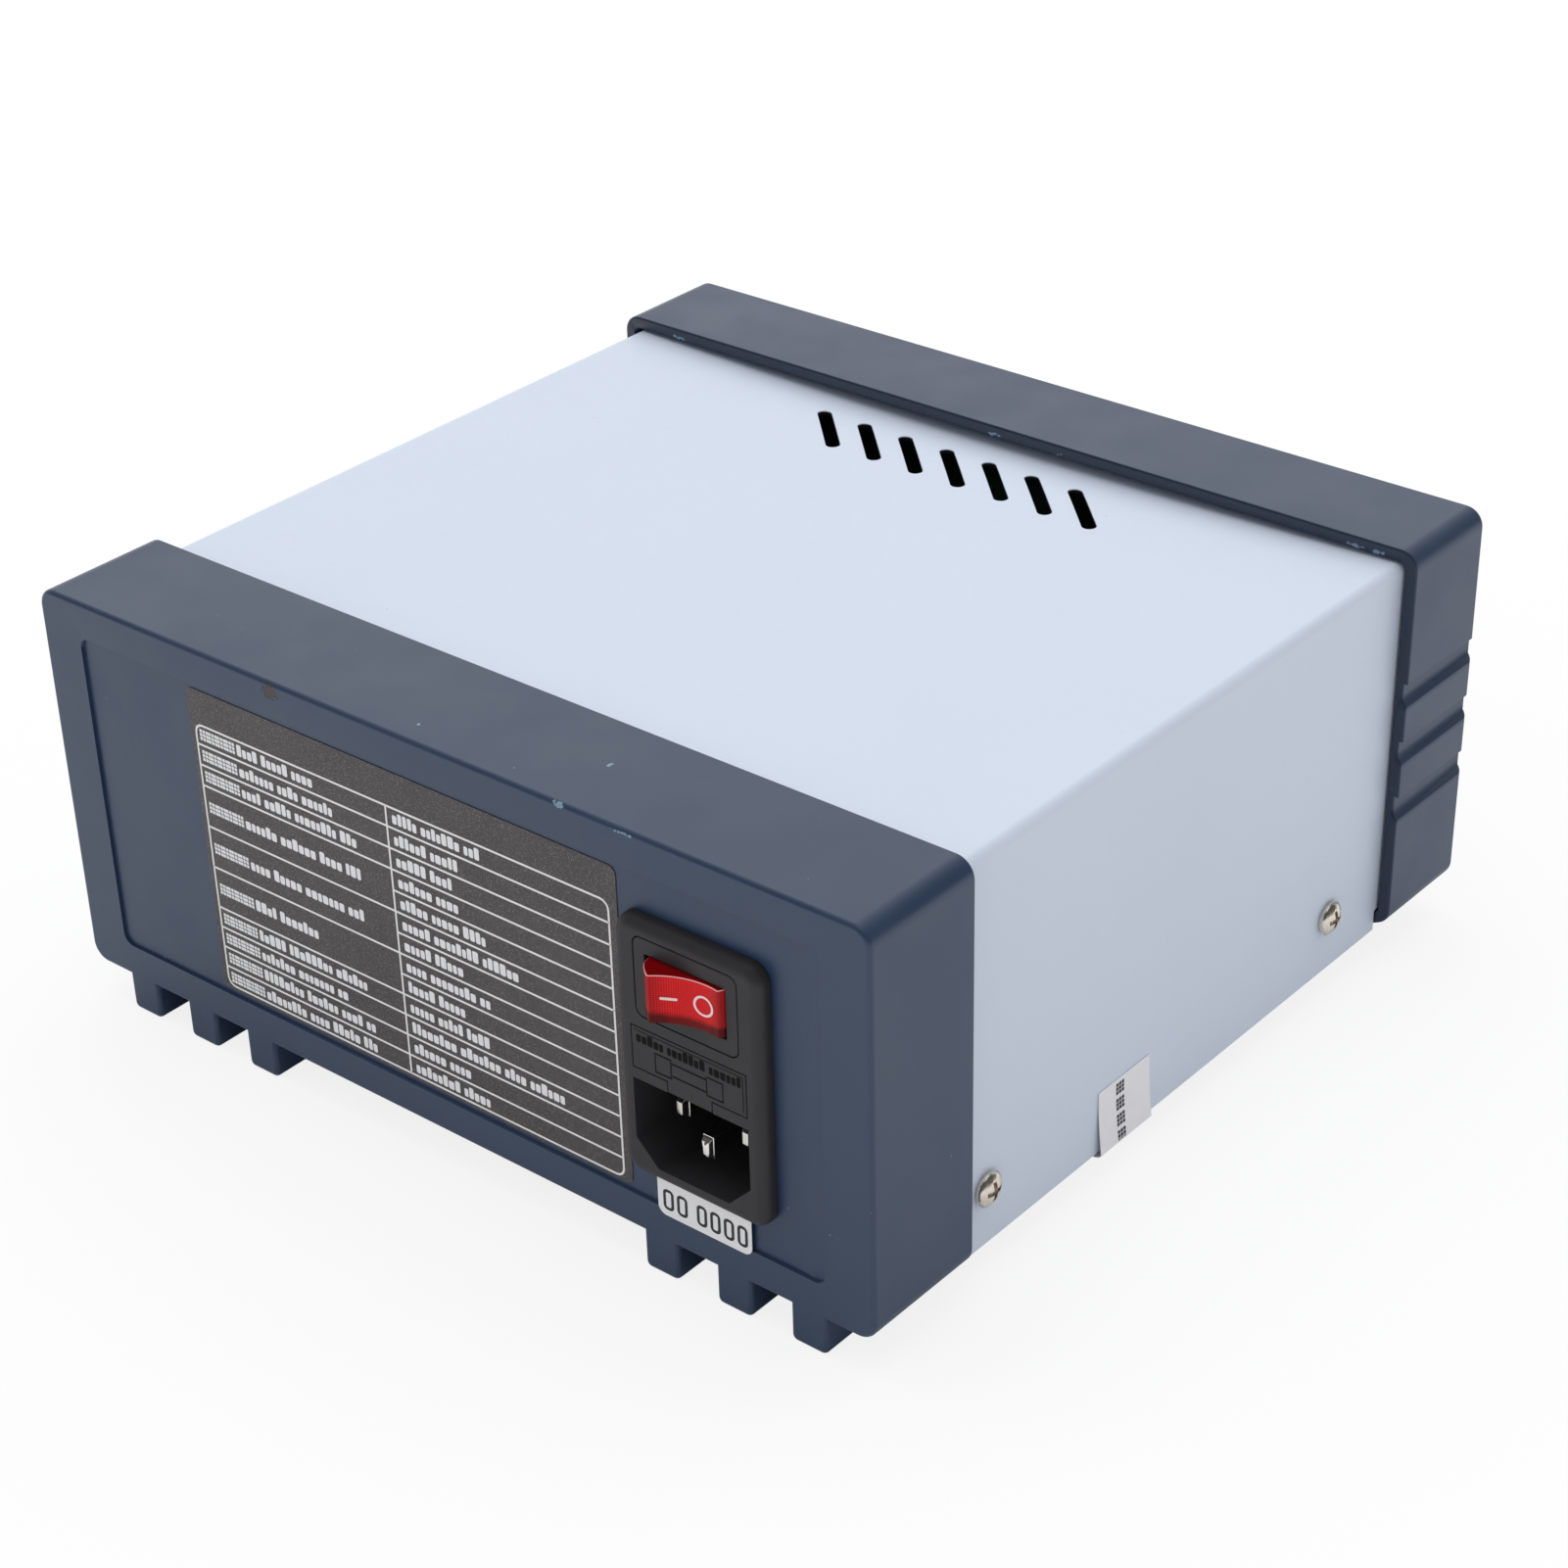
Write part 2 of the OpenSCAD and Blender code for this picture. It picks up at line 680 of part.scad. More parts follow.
module bezel_screws() color("#9a9ca0") in_case()
    for (x = [-foot_x, foot_x], y = bezel_screw_y)
        translate([x, y, bezel_t + sheet_t]) pan_screw(screw_l, screw_r, head_r, head_h);

// ---- labels ----

module front_overlay() color("#23262c") on_front()
    translate([0, 0, -panel_sink]) linear_extrude(overlay_t) difference() {
        translate([0, case_h/2])
            rounded_rect(panel_w - 2*sheet_gap, panel_h - 2*sheet_gap, panel_r - sheet_gap);
        translate([-screen_x, case_h/2]) square([screen_w, screen_h], center = true);
        key_holes_2d();
        for (k = [1 : 4]) translate([jack_mid + (k - 2.5)*jack_pitch, jack_y])
            circle(jack_thread_r + clear_gap);
    }

module rating_label() color("#4a4647") on_rear()
    translate([-label_x, case_h/2, -panel_sink]) linear_extrude(label_t)
        rounded_rect(label_w, label_h, label_r);

// It runs down from the faceplate and over the edge of the sunk panel
// Stuck below the sunk panel, and held off it by the step up to the inlet
module voltage_sticker() color("#e9e9ea") on_rear() translate([sticker_x, 0, hair])
    linear_extrude(label_t) intersection() {
        top = inlet_y - plate_h/2 - hair;
        translate([0, (sticker_low + top + sticker_r)/2])
            rounded_rect(sticker_w, top + sticker_r - sticker_low, sticker_r);
        translate([-sticker_w/2, 0]) square([sticker_w, top]);
    }

// It leaves the side of the cover in a bow, turns under the edge and lies under the tray
module tamper_seal() color("#bfbdbf") in_case() {
    last = len(seal_path) - 1;
    translate([-cover_side - hair, y_rear_in - seal_back + seal_w/2, 0]) rotate([90, 0, 0])
        linear_extrude(seal_w) polygon(concat(seal_path,
            [for (i = [last : -1 : 0])
                seal_path[i] - (i > seal_steps ? [0, label_t] : [label_t, 0])]));
}

// ---- display ----

module display_window() color("#9fb4c4", 0.4) on_front()
    translate([-screen_x, case_h/2, 0]) {
        w = screen_w - 2*key_gap;
        h = screen_h - 2*key_gap;
        translate([-w/2, -h/2, lens_z]) cube([w, h, overlay_z - lens_z]);
        translate([-w/2 - 2.5, -h/2 - 2.5, lens_z]) cube([w + 5, h + 5, window_t - hair]);
    }

module display_frame() color("#8f9296") on_front()
    translate([-screen_x, case_h/2, -board_in + hair]) difference() {
        t = board_in + lens_z - 2*hair;
        translate([-lcd_w/2, -lcd_h/2, 0]) cube([lcd_w, lcd_h, t]);
        translate([1 - lcd_w/2, 1 - lcd_h/2, -eps]) cube([lcd_w - 2, lcd_h - 2, t + eps - lcd_top_t]);
        translate([3.5 - screen_w/2, 3.5 - screen_h/2, 0]) cube([screen_w - 7, screen_h - 7, t + eps]);
    }

// Block that fills the display frame, from z0 to z1 behind the face
module in_display_frame(z0, z1) on_front()
    translate([hair + 1 - screen_x - lcd_w/2, hair + 1 + case_h/2 - lcd_h/2, z0])
        cube([lcd_w - 2 - 2*hair, lcd_h - 2 - 2*hair, z1 - z0]);

module display_glass() color("#39453f") {
    top = lens_z - lcd_top_t - 2*hair;
    in_display_frame(top - lcd_glass_t, top);
}

module display_backlight() color("#e8ecec")
    in_display_frame(hair - board_in, lens_z - lcd_top_t - lcd_glass_t - 3*hair);

module front_board() color("#1f5a3a") on_front()
    translate([0, 0, -board_in - board_t]) linear_extrude(board_t) difference() {
        translate([0, case_h/2])
            square([2*boss_x + 2*boss_r, case_h - 2*boss_y + 2*boss_r], center = true);
        at_bosses() circle(screw_r + clear_gap);
        for (k = [1 : 4]) translate([jack_mid + (k - 2.5)*jack_pitch, jack_y])
            circle(tail_r + clear_gap);
    }

module front_board_screws() color("#9a9ca0") on_front()
    translate([0, 0, -board_in - board_t]) at_bosses() mirror([0, 0, 1])
        pan_screw(screw_l - eps, screw_r, head_r, head_h);

module tact_switches() color("#26262a") for (k = [1 : 6]) on_key(k)
    translate([0, 0, -board_in - overlay_z]) difference() {
        translate([-tact_w/2, -tact_w/2, 0]) cube([tact_w, tact_w, tact_t]);
        translate([0, 0, tact_t - key_travel - 0.6]) cylinder(tact_t, r = post_r + 0.2);
    }

module key(k) color("#59616e") on_key(k) {
    seat = -bezel_t - overlay_z - hair;
    translate([-key_w/2, -key_h/2, seat - hair]) cube([key_w, key_h, key_proud - seat + hair]);
    translate([-key_w/2 - key_lip, -key_h/2 - key_lip, seat - key_flange_t])
        cube([key_w + 2*key_lip, key_h + 2*key_lip, key_flange_t]);
    post = tact_top - overlay_z - 0.3;
    translate([0, 0, post]) cylinder(seat - post, r = post_r);
}

module key_1() key(1);
module key_2() key(2);
module key_3() key(3);
module key_4() key(4);
module key_5() key(5);
module key_6() key(6);

// ---- measuring jacks ----

module jack_shell(k) color("#c9c8c2") on_jack(k) difference() {
    union() {
        cylinder(jack_flange_t, r = jack_flange_r);
        cylinder(jack_l - jack_nose_l, r = jack_body_r);
        cylinder(jack_l, r = jack_r);
        translate([0, 0, -thread_l]) cylinder(thread_l + hair, r = jack_thread_r);
        for (x = [-1, 1]) translate([0, 0, jack_l - jack_lug_in]) rotate([0, x*90, 0])
            cylinder(jack_r + 0.8, r = jack_lug_r);
    }
    translate([0, 0, jack_flange_t]) cylinder(jack_l, r = jack_bore_r);
    translate([0, 0, -thread_l - eps]) cylinder(thread_l + jack_flange_t + 2*eps, r = jack_core_r);
}

module jack_insulator(k) color("#f0efea") on_jack(k) difference() {
    union() {
        translate([0, 0, -thread_l]) cylinder(thread_l + jack_flange_t, r = jack_core_r - hair);
        translate([0, 0, jack_flange_t - hair])
            cylinder(jack_l - jack_flange_t - 1.5, r = jack_nose_r);
    }
    translate([0, 0, -thread_l - eps]) cylinder(thread_l + jack_l + eps, r = jack_contact_r + hair);
}

module jack_contact(k) color("#c9a24a") on_jack(k) {
    difference() {
        translate([0, 0, -thread_l]) cylinder(thread_l + jack_l - 2.5, r = jack_contact_r);
        translate([0, 0, jack_flange_t]) cylinder(jack_l, r = 0.7);
    }
    translate([0, 0, -thread_l - tail_l]) cylinder(tail_l + hair, r = tail_r);
}

module jack_shell_1() jack_shell(1);
module jack_shell_2() jack_shell(2);
module jack_shell_3() jack_shell(3);
module jack_shell_4() jack_shell(4);
module jack_insulator_1() jack_insulator(1);
module jack_insulator_2() jack_insulator(2);
module jack_insulator_3() jack_insulator(3);
module jack_insulator_4() jack_insulator(4);
module jack_contact_1() jack_contact(1);
module jack_contact_2() jack_contact(2);
module jack_contact_3() jack_contact(3);
module jack_contact_4() jack_contact(4);

module jack_washers() color("#b8b6b0") for (k = [1 : 4]) on_jack(k)
    translate([0, 0, -bezel_t - overlay_z - washer_t]) difference() {
        cylinder(washer_t, r = jack_flange_r);
        translate([0, 0, -eps]) cylinder(washer_t + 2*eps, r = jack_thread_r + hair);
    }

module jack_nuts() color("#c9c8c2") for (k = [1 : 4]) on_jack(k)
    translate([0, 0, -bezel_t - overlay_z - washer_t - nut_t]) difference() {
        rotate(30) cylinder(nut_t, r = nut_r, $fn = 6);
        translate([0, 0, -eps]) cylinder(nut_t + 2*eps, r = jack_thread_r + hair);
    }

// ---- boards inside ----

module board(l, w, x0, y0) in_case() translate([0, 0, board_z]) linear_extrude(board_t)
    difference() {
        translate([x0, y0]) square([w, l], center = true);
        at_board_corners(l, w, x0, y0) circle(screw_r + clear_gap);
    }

// Box of size s standing on the boards at x, y
module on_board(x, y, s, up = 0) in_case()
    translate([x - s[0]/2, y - s[1]/2, board_top + up]) cube(s);

module main_board() color("#1f5a3a") board(main_l, main_w, main_x, main_y);

module main_chips() color("#202124") {
    on_board(processor_x, main_y - 8, processor_size);
    for (k = [0 : 1]) on_board(processor_x + 2*chip_step, main_y - 6 + k*chip_step, chip_size);
    on_board(film_x + 4, main_y + 10, chip_size);
}

module range_relays() color("#d7d9d6") for (k = [0 : 3])
    on_board(main_x + (k - 1.5)*relay_step, main_y + main_l/2 - relay_in, relay_size);

module film_capacitors() color("#b4342c") for (k = [0 : 1])
    on_board(film_x + k*film_step, main_y - film_size[1], film_size);

module board_headers() color("#ecebe4") {
    on_board(header_x, header_y, header_size);
    on_front() translate([header_x - header_size[0]/2, case_h/2 + header_up,
        -board_in - board_t - header_size[1]])
        cube([header_size[0], header_size[2], header_size[1]]);
}

module power_board() color("#8a6b2e") board(power_l, power_w, power_x, power_y);

module power_transformer() color("#d8b43a")
    on_board(power_x, power_y - trafo_y, trafo_size);

module power_capacitors() color("#2b3a66") in_case() translate([power_x, power_y, board_top]) {
    translate([-bulk_x, trafo_y, 0]) cylinder(bulk_h, r = bulk_r);
    for (k = [0 : 1]) translate([power_w/2 - cap_in, k*cap_step - cap_y, 0])
        cylinder(cap_h, r = cap_r);
}

module power_terminals() color("#2f7d4c")
    on_board(holder_x, terminal_y, terminal_size);

module board_standoffs() color("#c8a550") in_case() translate([0, 0, sheet_t]) difference() {
    at_all_board_corners() rotate(30) cylinder(standoff_h, r = standoff_r, $fn = 6);
    at_all_board_corners() translate([0, 0, sheet_t])
        cylinder(standoff_h, r = screw_r + thread_gap);
}

module board_screws() color("#9a9ca0") in_case() translate([0, 0, board_top])
    at_all_board_corners() pan_screw(board_t + standoff_h/2, screw_r, head_r, head_h);

// ---- inlet ----

module socket_2d() translate([0, -socket_drop]) {
    w = socket_w/2;
    h = socket_h/2;
    polygon([[-w, h], [w, h], [w, socket_cut - h], [w - socket_cut, -h],
        [socket_cut - w, -h], [-w, socket_cut - h]]);
}

module inlet_housing() color("#2a2a2c") on_inlet() difference() {
    union() {
        translate([0, 0, plate_t]) soft_block(plate_w, plate_h, plate_t, plate_r, plate_edge_r);
        translate([-inlet_w/2, -inlet_h/2, inlet_back])
            cube([inlet_w, inlet_h, hair - inlet_back]);
        // snap ramps on both sides, behind the panel
        for (side = [0, 1], y = [-12, 12]) mirror([side, 0, 0])
            translate([inlet_w/2, y - 4, panel_sink - bezel_t - fit_gap]) rotate([-90, 0, 0])
                linear_extrude(8) polygon([[-eps, 0], [1.2, 0], [0, 8], [-eps, 8]]);
    }
    translate([0, 0, socket_back]) linear_extrude(socket_d + eps) socket_2d();
    for (p = pin_at) translate([p[0] - pin_w/2 - hair, p[1] - pin_h/2 - hair, inlet_back - eps])
        cube([pin_w + 2*hair, pin_h + 2*hair, inlet_d]);
    // seat of the switch and the hole for its body
    translate([0, switch_y, plate_t - switch_flange_t]) linear_extrude(plate_t)
        rounded_rect(switch_w + 2*fit_gap, switch_h + 2*fit_gap, switch_r + fit_gap);
    translate([-switch_body_w/2 - fit_gap, switch_y - switch_body_h/2 - fit_gap, inlet_back - eps])
        cube([switch_body_w + 2*fit_gap, switch_body_h + 2*fit_gap, inlet_d + plate_t + eps]);
    // seat of the drawer's face, its tab and its body
    translate([-drawer_w/2, drawer_y - drawer_h/2, plate_t - drawer_t])
        cube([drawer_w, drawer_h, plate_t]);
    translate([-drawer_tab_w/2 - fit_gap, drawer_tab_low - eps, plate_t - drawer_t])
        cube([drawer_tab_w + 2*fit_gap, drawer_tab_h + 2*eps, plate_t]);
    translate([-drawer_w/2 + 0.5, drawer_y - drawer_body_h/2 - fit_gap, -drawer_d - 0.3])
        cube([drawer_w - 1, drawer_body_h + 2*fit_gap, drawer_d + plate_t]);
}

module switch_frame() color("#29292b") on_inlet() translate([0, switch_y, 0]) difference() {
    union() {
        translate([0, 0, plate_t - switch_flange_t]) linear_extrude(switch_flange_t)
            rounded_rect(switch_w, switch_h, switch_r);
        translate([-switch_body_w/2, -switch_body_h/2, plate_t - switch_d])
            cube([switch_body_w, switch_body_h, switch_d - switch_lip]);
    }
    translate([-window_w/2, -window_h/2, 0]) cube([window_w, window_h, plate_t + eps]);
    translate([-window_w/2 - 1, -window_h/2, plate_t - switch_d + 1.5])
        cube([window_w + 2, window_h, switch_d - 1.5 - switch_lip]);
    translate([0, 0, pivot_z]) rotate([90, 0, 0])
        cylinder(switch_body_h - 0.6, r = stub_r + hair, center = true);
    for (x = [-5, 0, 5]) translate([x - 0.4 - hair, -2 - hair, plate_t - switch_d - eps])
        cube([0.8 + 2*hair, 4 + 2*hair, 4]);
}

// Side view of the rocker, with its pivot at the origin and its face upwards
module rocker_2d() difference() {
    intersection() {
        circle(rocker_r);
        translate([fit_gap - window_w/2, -3]) square([window_w - 2*fit_gap, rocker_tip[1] + 3]);
    }
    translate([0, rocker_tip[1] + sqrt(pow(rocker_face_r, 2) - pow(rocker_tip[0], 2))])
        circle(rocker_face_r, $fn = 180);
}

module rocker() color("#c81420", 0.85) on_inlet() translate([0, switch_y, pivot_z])
    rotate([0, rocker_tilt, 0]) rotate([90, 0, 0]) {
        linear_extrude(rocker_h, center = true) rocker_2d();
        cylinder(switch_body_h - 1, r = stub_r, center = true);
    }

module switch_tabs() color("#d6c9a0") on_inlet() for (x = [-5, 0, 5])
    translate([x - 0.4, switch_y - 2, plate_t - switch_d - tab_l]) cube([0.8, 4, tab_l + 2.5]);

module fuse_symbol_2d() {
    line = 0.25;
    for (x = [-1, 1]) translate([x*5.4, 0]) difference() {
        square([3.6, 3.8], center = true);
        square([3.6 - 2*line, 3.8 - 2*line], center = true);
    }
    for (y = [-1, 1]) translate([0, y*1.2]) square([7.2, line], center = true);
}

module fuse_drawer() color("#2d2d2f") on_inlet() {
    face_w = drawer_w - 2*fit_gap;
    face_h = drawer_h - 2*fit_gap;
    body_w = face_w - 1;
    difference() {
        union() {
            translate([-face_w/2, drawer_y - face_h/2, plate_t - drawer_t + hair])
                cube([face_w, face_h, drawer_t - hair]);
            translate([-drawer_tab_w/2, drawer_tab_low + fit_gap, plate_t - drawer_t + hair])
                cube([drawer_tab_w, drawer_tab_h + eps, drawer_t - hair]);
            translate([-body_w/2, drawer_y - drawer_body_h/2, -drawer_d])
                cube([body_w, drawer_body_h, drawer_d + plate_t - drawer_t + 2*hair]);
        }
        translate([0, drawer_y - 1.4, plate_t - 0.3]) linear_extrude(eps) fuse_symbol_2d();
        // cradle for the fuse, open above
        translate([0, drawer_y, fuse_z]) rotate([0, 90, 0])
            cylinder(fuse_l + 2*hair, r = fuse_r + hair, center = true);
        translate([-fuse_l/2 - hair, drawer_y, fuse_z - fuse_r - hair])
            cube([fuse_l + 2*hair, drawer_h, 2*fuse_r + 2*hair]);
    }
}

module fuse_rod(l, r) translate([0, drawer_y, fuse_z]) rotate([0, 90, 0])
    cylinder(l, r = r, center = true);

module fuse_glass() color("#dfe8ea", 0.5) on_inlet() fuse_rod(fuse_l - 2*fuse_cap_l + 2, fuse_r - 0.3);

module fuse_caps() color("#c4c6c8") on_inlet() difference() {
    fuse_rod(fuse_l, fuse_r);
    fuse_rod(fuse_l - 2*fuse_cap_l, fuse_r + eps);
    fuse_rod(fuse_l - 2*fuse_cap_l + 2 + hair, fuse_r - 0.3 + hair);
}

// A pin, from tip to the end of its tab
module inlet_pin(p, sink) {
    tip = plate_t - sink;
    translate([p[0], p[1], 0]) {
        translate([-pin_w/2, -pin_h/2, inlet_back]) cube([pin_w, pin_h, tip - 1.4 - inlet_back]);
        translate([0, 0, tip - 1.4 - hair]) linear_extrude(1.4 + hair, scale = 0.6)
            square([pin_w, pin_h], center = true);
        translate([-0.4, -pin_h/2, inlet_back - tab_l]) cube([0.8, pin_h, tab_l + hair]);
    }
}

module inlet_pins() color("#d2d2cf") on_inlet() {
    for (k = [0, 1]) inlet_pin(pin_at[k], pin_sink);
    inlet_pin(pin_at[2], earth_sink);
}

// ---- leads ----

// Height in the case of inlet pin k
function pin_z(k) = inlet_y + pin_at[k][1];

module power_leads() color("#8a4a2c") in_case() for (k = [0, 1]) {
    x = holder_x - pin_at[k][0];
    lead([[x, tab_y, pin_z(k)], [x, terminal_y, pin_z(k)],
        [x, terminal_y, board_top + terminal_size[2] + hair]], lead_r);
    // supply to the main board
    y = power_y - 4*k;
    x0 = power_x + power_w/2 - 3;
    x1 = main_x - main_w/2 + 3;
    z = board_top + 6;
    lead([[x0, y, board_top + hair], [x0, y, z], [x1, y, z], [x1, y, board_top + hair]], lead_r);
}

module earth_lead() color("#7fa33a") in_case() {
    lead([[holder_x, tab_y, pin_z(2)], [holder_x, tab_y - 4, pin_z(2)],
        [stud_at[0], stud_at[1] - 3, 14], [stud_at[0], stud_at[1] - 3, 10.6]], lead_r);
    translate([stud_at[0], stud_at[1], sheet_t + hair]) difference() {
        union() {
            cylinder(2.4, r = 3.6, $fn = 6);
            translate([0, -3, 1.2]) cylinder(8.4, r = lead_r);
        }
        translate([0, 0, -eps]) cylinder(12, r = stud_r + hair);
    }
}

module jack_leads() color("#3a3d44") in_case() for (k = [1 : 4]) {
    x = jack_mid + (k - 2.5)*jack_pitch;
    y_end = main_y - main_l/2 + 2*lead_r;
    lead([[x, y_front - overlay_z + thread_l + tail_l + hair, jack_y], [x, y_end, jack_y],
        [x, y_end, board_top + hair]], lead_r);
}

module display_ribbon() color("#9aa0a6") in_case() {
    w = header_size[0] - 2;
    x = header_x - w/2;
    z_low = board_top + header_size[2] + hair;
    z_top = case_h/2 + header_up + header_size[2]/2;
    y_top = y_front + board_in + board_t + header_size[1] + hair;
    translate([x, header_y, z_low]) cube([w, 0.9, z_top - z_low]);
    translate([x, y_top, z_top]) cube([w, header_y + 0.9 - y_top, 0.9]);
}

// ---- what is drawn ----

front_bezel();
rear_bezel();
top_cover();
bottom_tray();
cover_screws();
bezel_screws();
front_overlay();
rating_label();
voltage_sticker();
tamper_seal();
display_window();
display_frame();
display_glass();
display_backlight();
front_board();
front_board_screws();
tact_switches();
key_1();
key_2();
key_3();
key_4();
key_5();
key_6();
jack_shell_1();
jack_shell_2();
jack_shell_3();
jack_shell_4();
jack_insulator_1();
jack_insulator_2();
jack_insulator_3();
jack_insulator_4();
jack_contact_1();
jack_contact_2();
jack_contact_3();
jack_contact_4();
jack_washers();
jack_nuts();
main_board();
main_chips();
range_relays();
film_capacitors();
board_headers();
power_board();
power_transformer();
power_capacitors();
power_terminals();
board_standoffs();
board_screws();
inlet_housing();
switch_frame();
rocker();
switch_tabs();
fuse_drawer();
fuse_glass();
fuse_caps();
inlet_pins();
power_leads();
earth_lead();
jack_leads();
display_ribbon();
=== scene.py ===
# %% [markdown]
# # A bench LCR meter, seen from behind
# Two moulded bezels hold a folded steel cover between them. The rear one carries a rating
# label and a mains inlet with a switch and a fuse drawer. The solids come from the packed
# part. This lesson dresses them: it rounds edges, lays print on the labels, mixes a
# material for every finish and sets a plain studio round the meter.

# %% Tools and the frame
import math
import random

import bmesh
import bpy
from mathutils import Matrix, Quaternion, Vector
from mathutils.bvhtree import BVHTree
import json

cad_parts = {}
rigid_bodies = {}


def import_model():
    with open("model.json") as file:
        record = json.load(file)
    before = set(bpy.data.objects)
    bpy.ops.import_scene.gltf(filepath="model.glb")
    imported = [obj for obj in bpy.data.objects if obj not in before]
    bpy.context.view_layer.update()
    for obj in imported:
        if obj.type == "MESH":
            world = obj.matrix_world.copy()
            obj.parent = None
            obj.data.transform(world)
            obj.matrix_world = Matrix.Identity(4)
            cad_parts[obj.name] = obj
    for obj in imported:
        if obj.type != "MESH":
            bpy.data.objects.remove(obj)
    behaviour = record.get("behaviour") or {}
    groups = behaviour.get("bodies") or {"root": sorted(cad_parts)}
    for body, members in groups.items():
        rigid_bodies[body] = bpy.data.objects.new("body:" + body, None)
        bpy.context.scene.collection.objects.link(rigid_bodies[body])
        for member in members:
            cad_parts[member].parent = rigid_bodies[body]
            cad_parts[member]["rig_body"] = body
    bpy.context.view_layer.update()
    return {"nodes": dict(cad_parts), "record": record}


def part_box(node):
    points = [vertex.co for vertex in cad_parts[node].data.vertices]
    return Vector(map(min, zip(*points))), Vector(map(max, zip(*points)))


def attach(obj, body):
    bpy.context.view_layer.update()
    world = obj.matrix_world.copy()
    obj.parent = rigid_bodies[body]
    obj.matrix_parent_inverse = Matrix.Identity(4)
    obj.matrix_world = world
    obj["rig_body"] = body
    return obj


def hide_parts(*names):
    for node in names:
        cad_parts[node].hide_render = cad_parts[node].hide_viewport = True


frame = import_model()
nodes = frame["nodes"]
slot_of = {part["node"]: part["material_slot"] for part in frame["record"]["subparts"]}
scene = bpy.context.scene

# %% [markdown]
# ## Sizes that the looks share with the solids
# The solids are drawn in millimetres and arrive in metres. Each face of the case has its
# own flat drawing: x to the right, y up from the underside, z out of the sunk panel. Two
# matrices stand those drawings up, so that everything on a face is laid out flat first.

# %% Sizes and places
MM = 0.001
foot_h = 7.4
case_w, case_h = 188, 78
panel_sink = 0.6
y_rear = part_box("rear_bezel")[1].y / MM
y_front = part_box("front_bezel")[0].y / MM
y_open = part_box("front_bezel")[1].y / MM         # open end of the front bezel
SCALE = Matrix.Scale(MM, 4)
REAR = SCALE @ Matrix(((-1, 0, 0, 0), (0, 0, 1, y_rear - panel_sink), (0, 1, 0, foot_h), (0, 0, 0, 1)))
FRONT = SCALE @ Matrix(((1, 0, 0, 0), (0, 0, -1, y_front + panel_sink), (0, 1, 0, foot_h), (0, 0, 0, 1)))
print("faces at y =", round(y_front, 2), "and", round(y_rear, 2), "mm")

# %% [markdown]
# ## Camera
# The camera looks down on the rear corner from well above the meter. A long lens keeps the
# edges nearly parallel. It is placed by the direction it looks in and a slight roll.

# %% Camera
look = Vector((0.5449, -0.6453, -0.5354))
lens = bpy.data.cameras.new("camera")
lens.lens = 78.15
lens.sensor_width = 36
lens.shift_x = -0.0080
lens.shift_y = 0.0912
lens.clip_end = 50
camera = bpy.data.objects.new("camera", lens)
camera.rotation_mode = "QUATERNION"
camera.rotation_quaternion = look.to_track_quat("-Z", "Y") @ Quaternion((0, 0, 1), math.radians(-1.48))
camera.location = (-0.3580, 0.4223, 0.3542)
scene.collection.objects.link(camera)
scene.camera = camera
print("camera axis x", [round(c, 4) for c in camera.rotation_quaternion @ Vector((1, 0, 0))])

# %% [markdown]
# ## Sums on sockets
# A material's pattern is arithmetic: this noise times that mask plus a constant. `Wire`
# wraps one socket, so that such sums are written as they are said.

# %% Wire
class Wire:
    """One output socket that can be added, multiplied and compared."""

    def __init__(self, tree, socket):
        self.tree, self.socket = tree, socket

    def math(self, operation, *values):
        node = self.tree.nodes.new("ShaderNodeMath")
        node.operation = operation
        for place, value in zip(node.inputs, values):
            if isinstance(value, Wire):
                self.tree.links.new(value.socket, place)
            else:
                place.default_value = value
        return Wire(self.tree, node.outputs[0])

    def __add__(self, other): return self.math("ADD", self, other)
    def __sub__(self, other): return self.math("SUBTRACT", self, other)
    def __rsub__(self, other): return self.math("SUBTRACT", other, self)
    def __mul__(self, other): return self.math("MULTIPLY", self, other)
    def __truediv__(self, other): return self.math("DIVIDE", self, other)
    def __pow__(self, other): return self.math("POWER", self, other)
    def __abs__(self): return self.math("ABSOLUTE", self)
    def __lt__(self, other): return self.math("LESS_THAN", self, other)
    def __gt__(self, other): return self.math("GREATER_THAN", self, other)
    __radd__ = __add__


print("Wire adds, multiplies and compares sockets")

# %% [markdown]
# ## Paint
# Every finish here is one Principled shader with constants on its sockets and a pattern on
# colour, roughness and bump. `Paint` builds that once. Its coordinates are the object's
# own, so that a pattern stays on a piece when the piece moves.

# %% Paint
def rgb(red, green, blue):
    """A colour given as it looks on a screen, 0 to 255, as the light that it stands for."""
    return tuple((c / 255 / 12.92 if c < 11 else ((c / 255 + 0.055) / 1.055) ** 2.4)
                 for c in (red, green, blue)) + (1,)


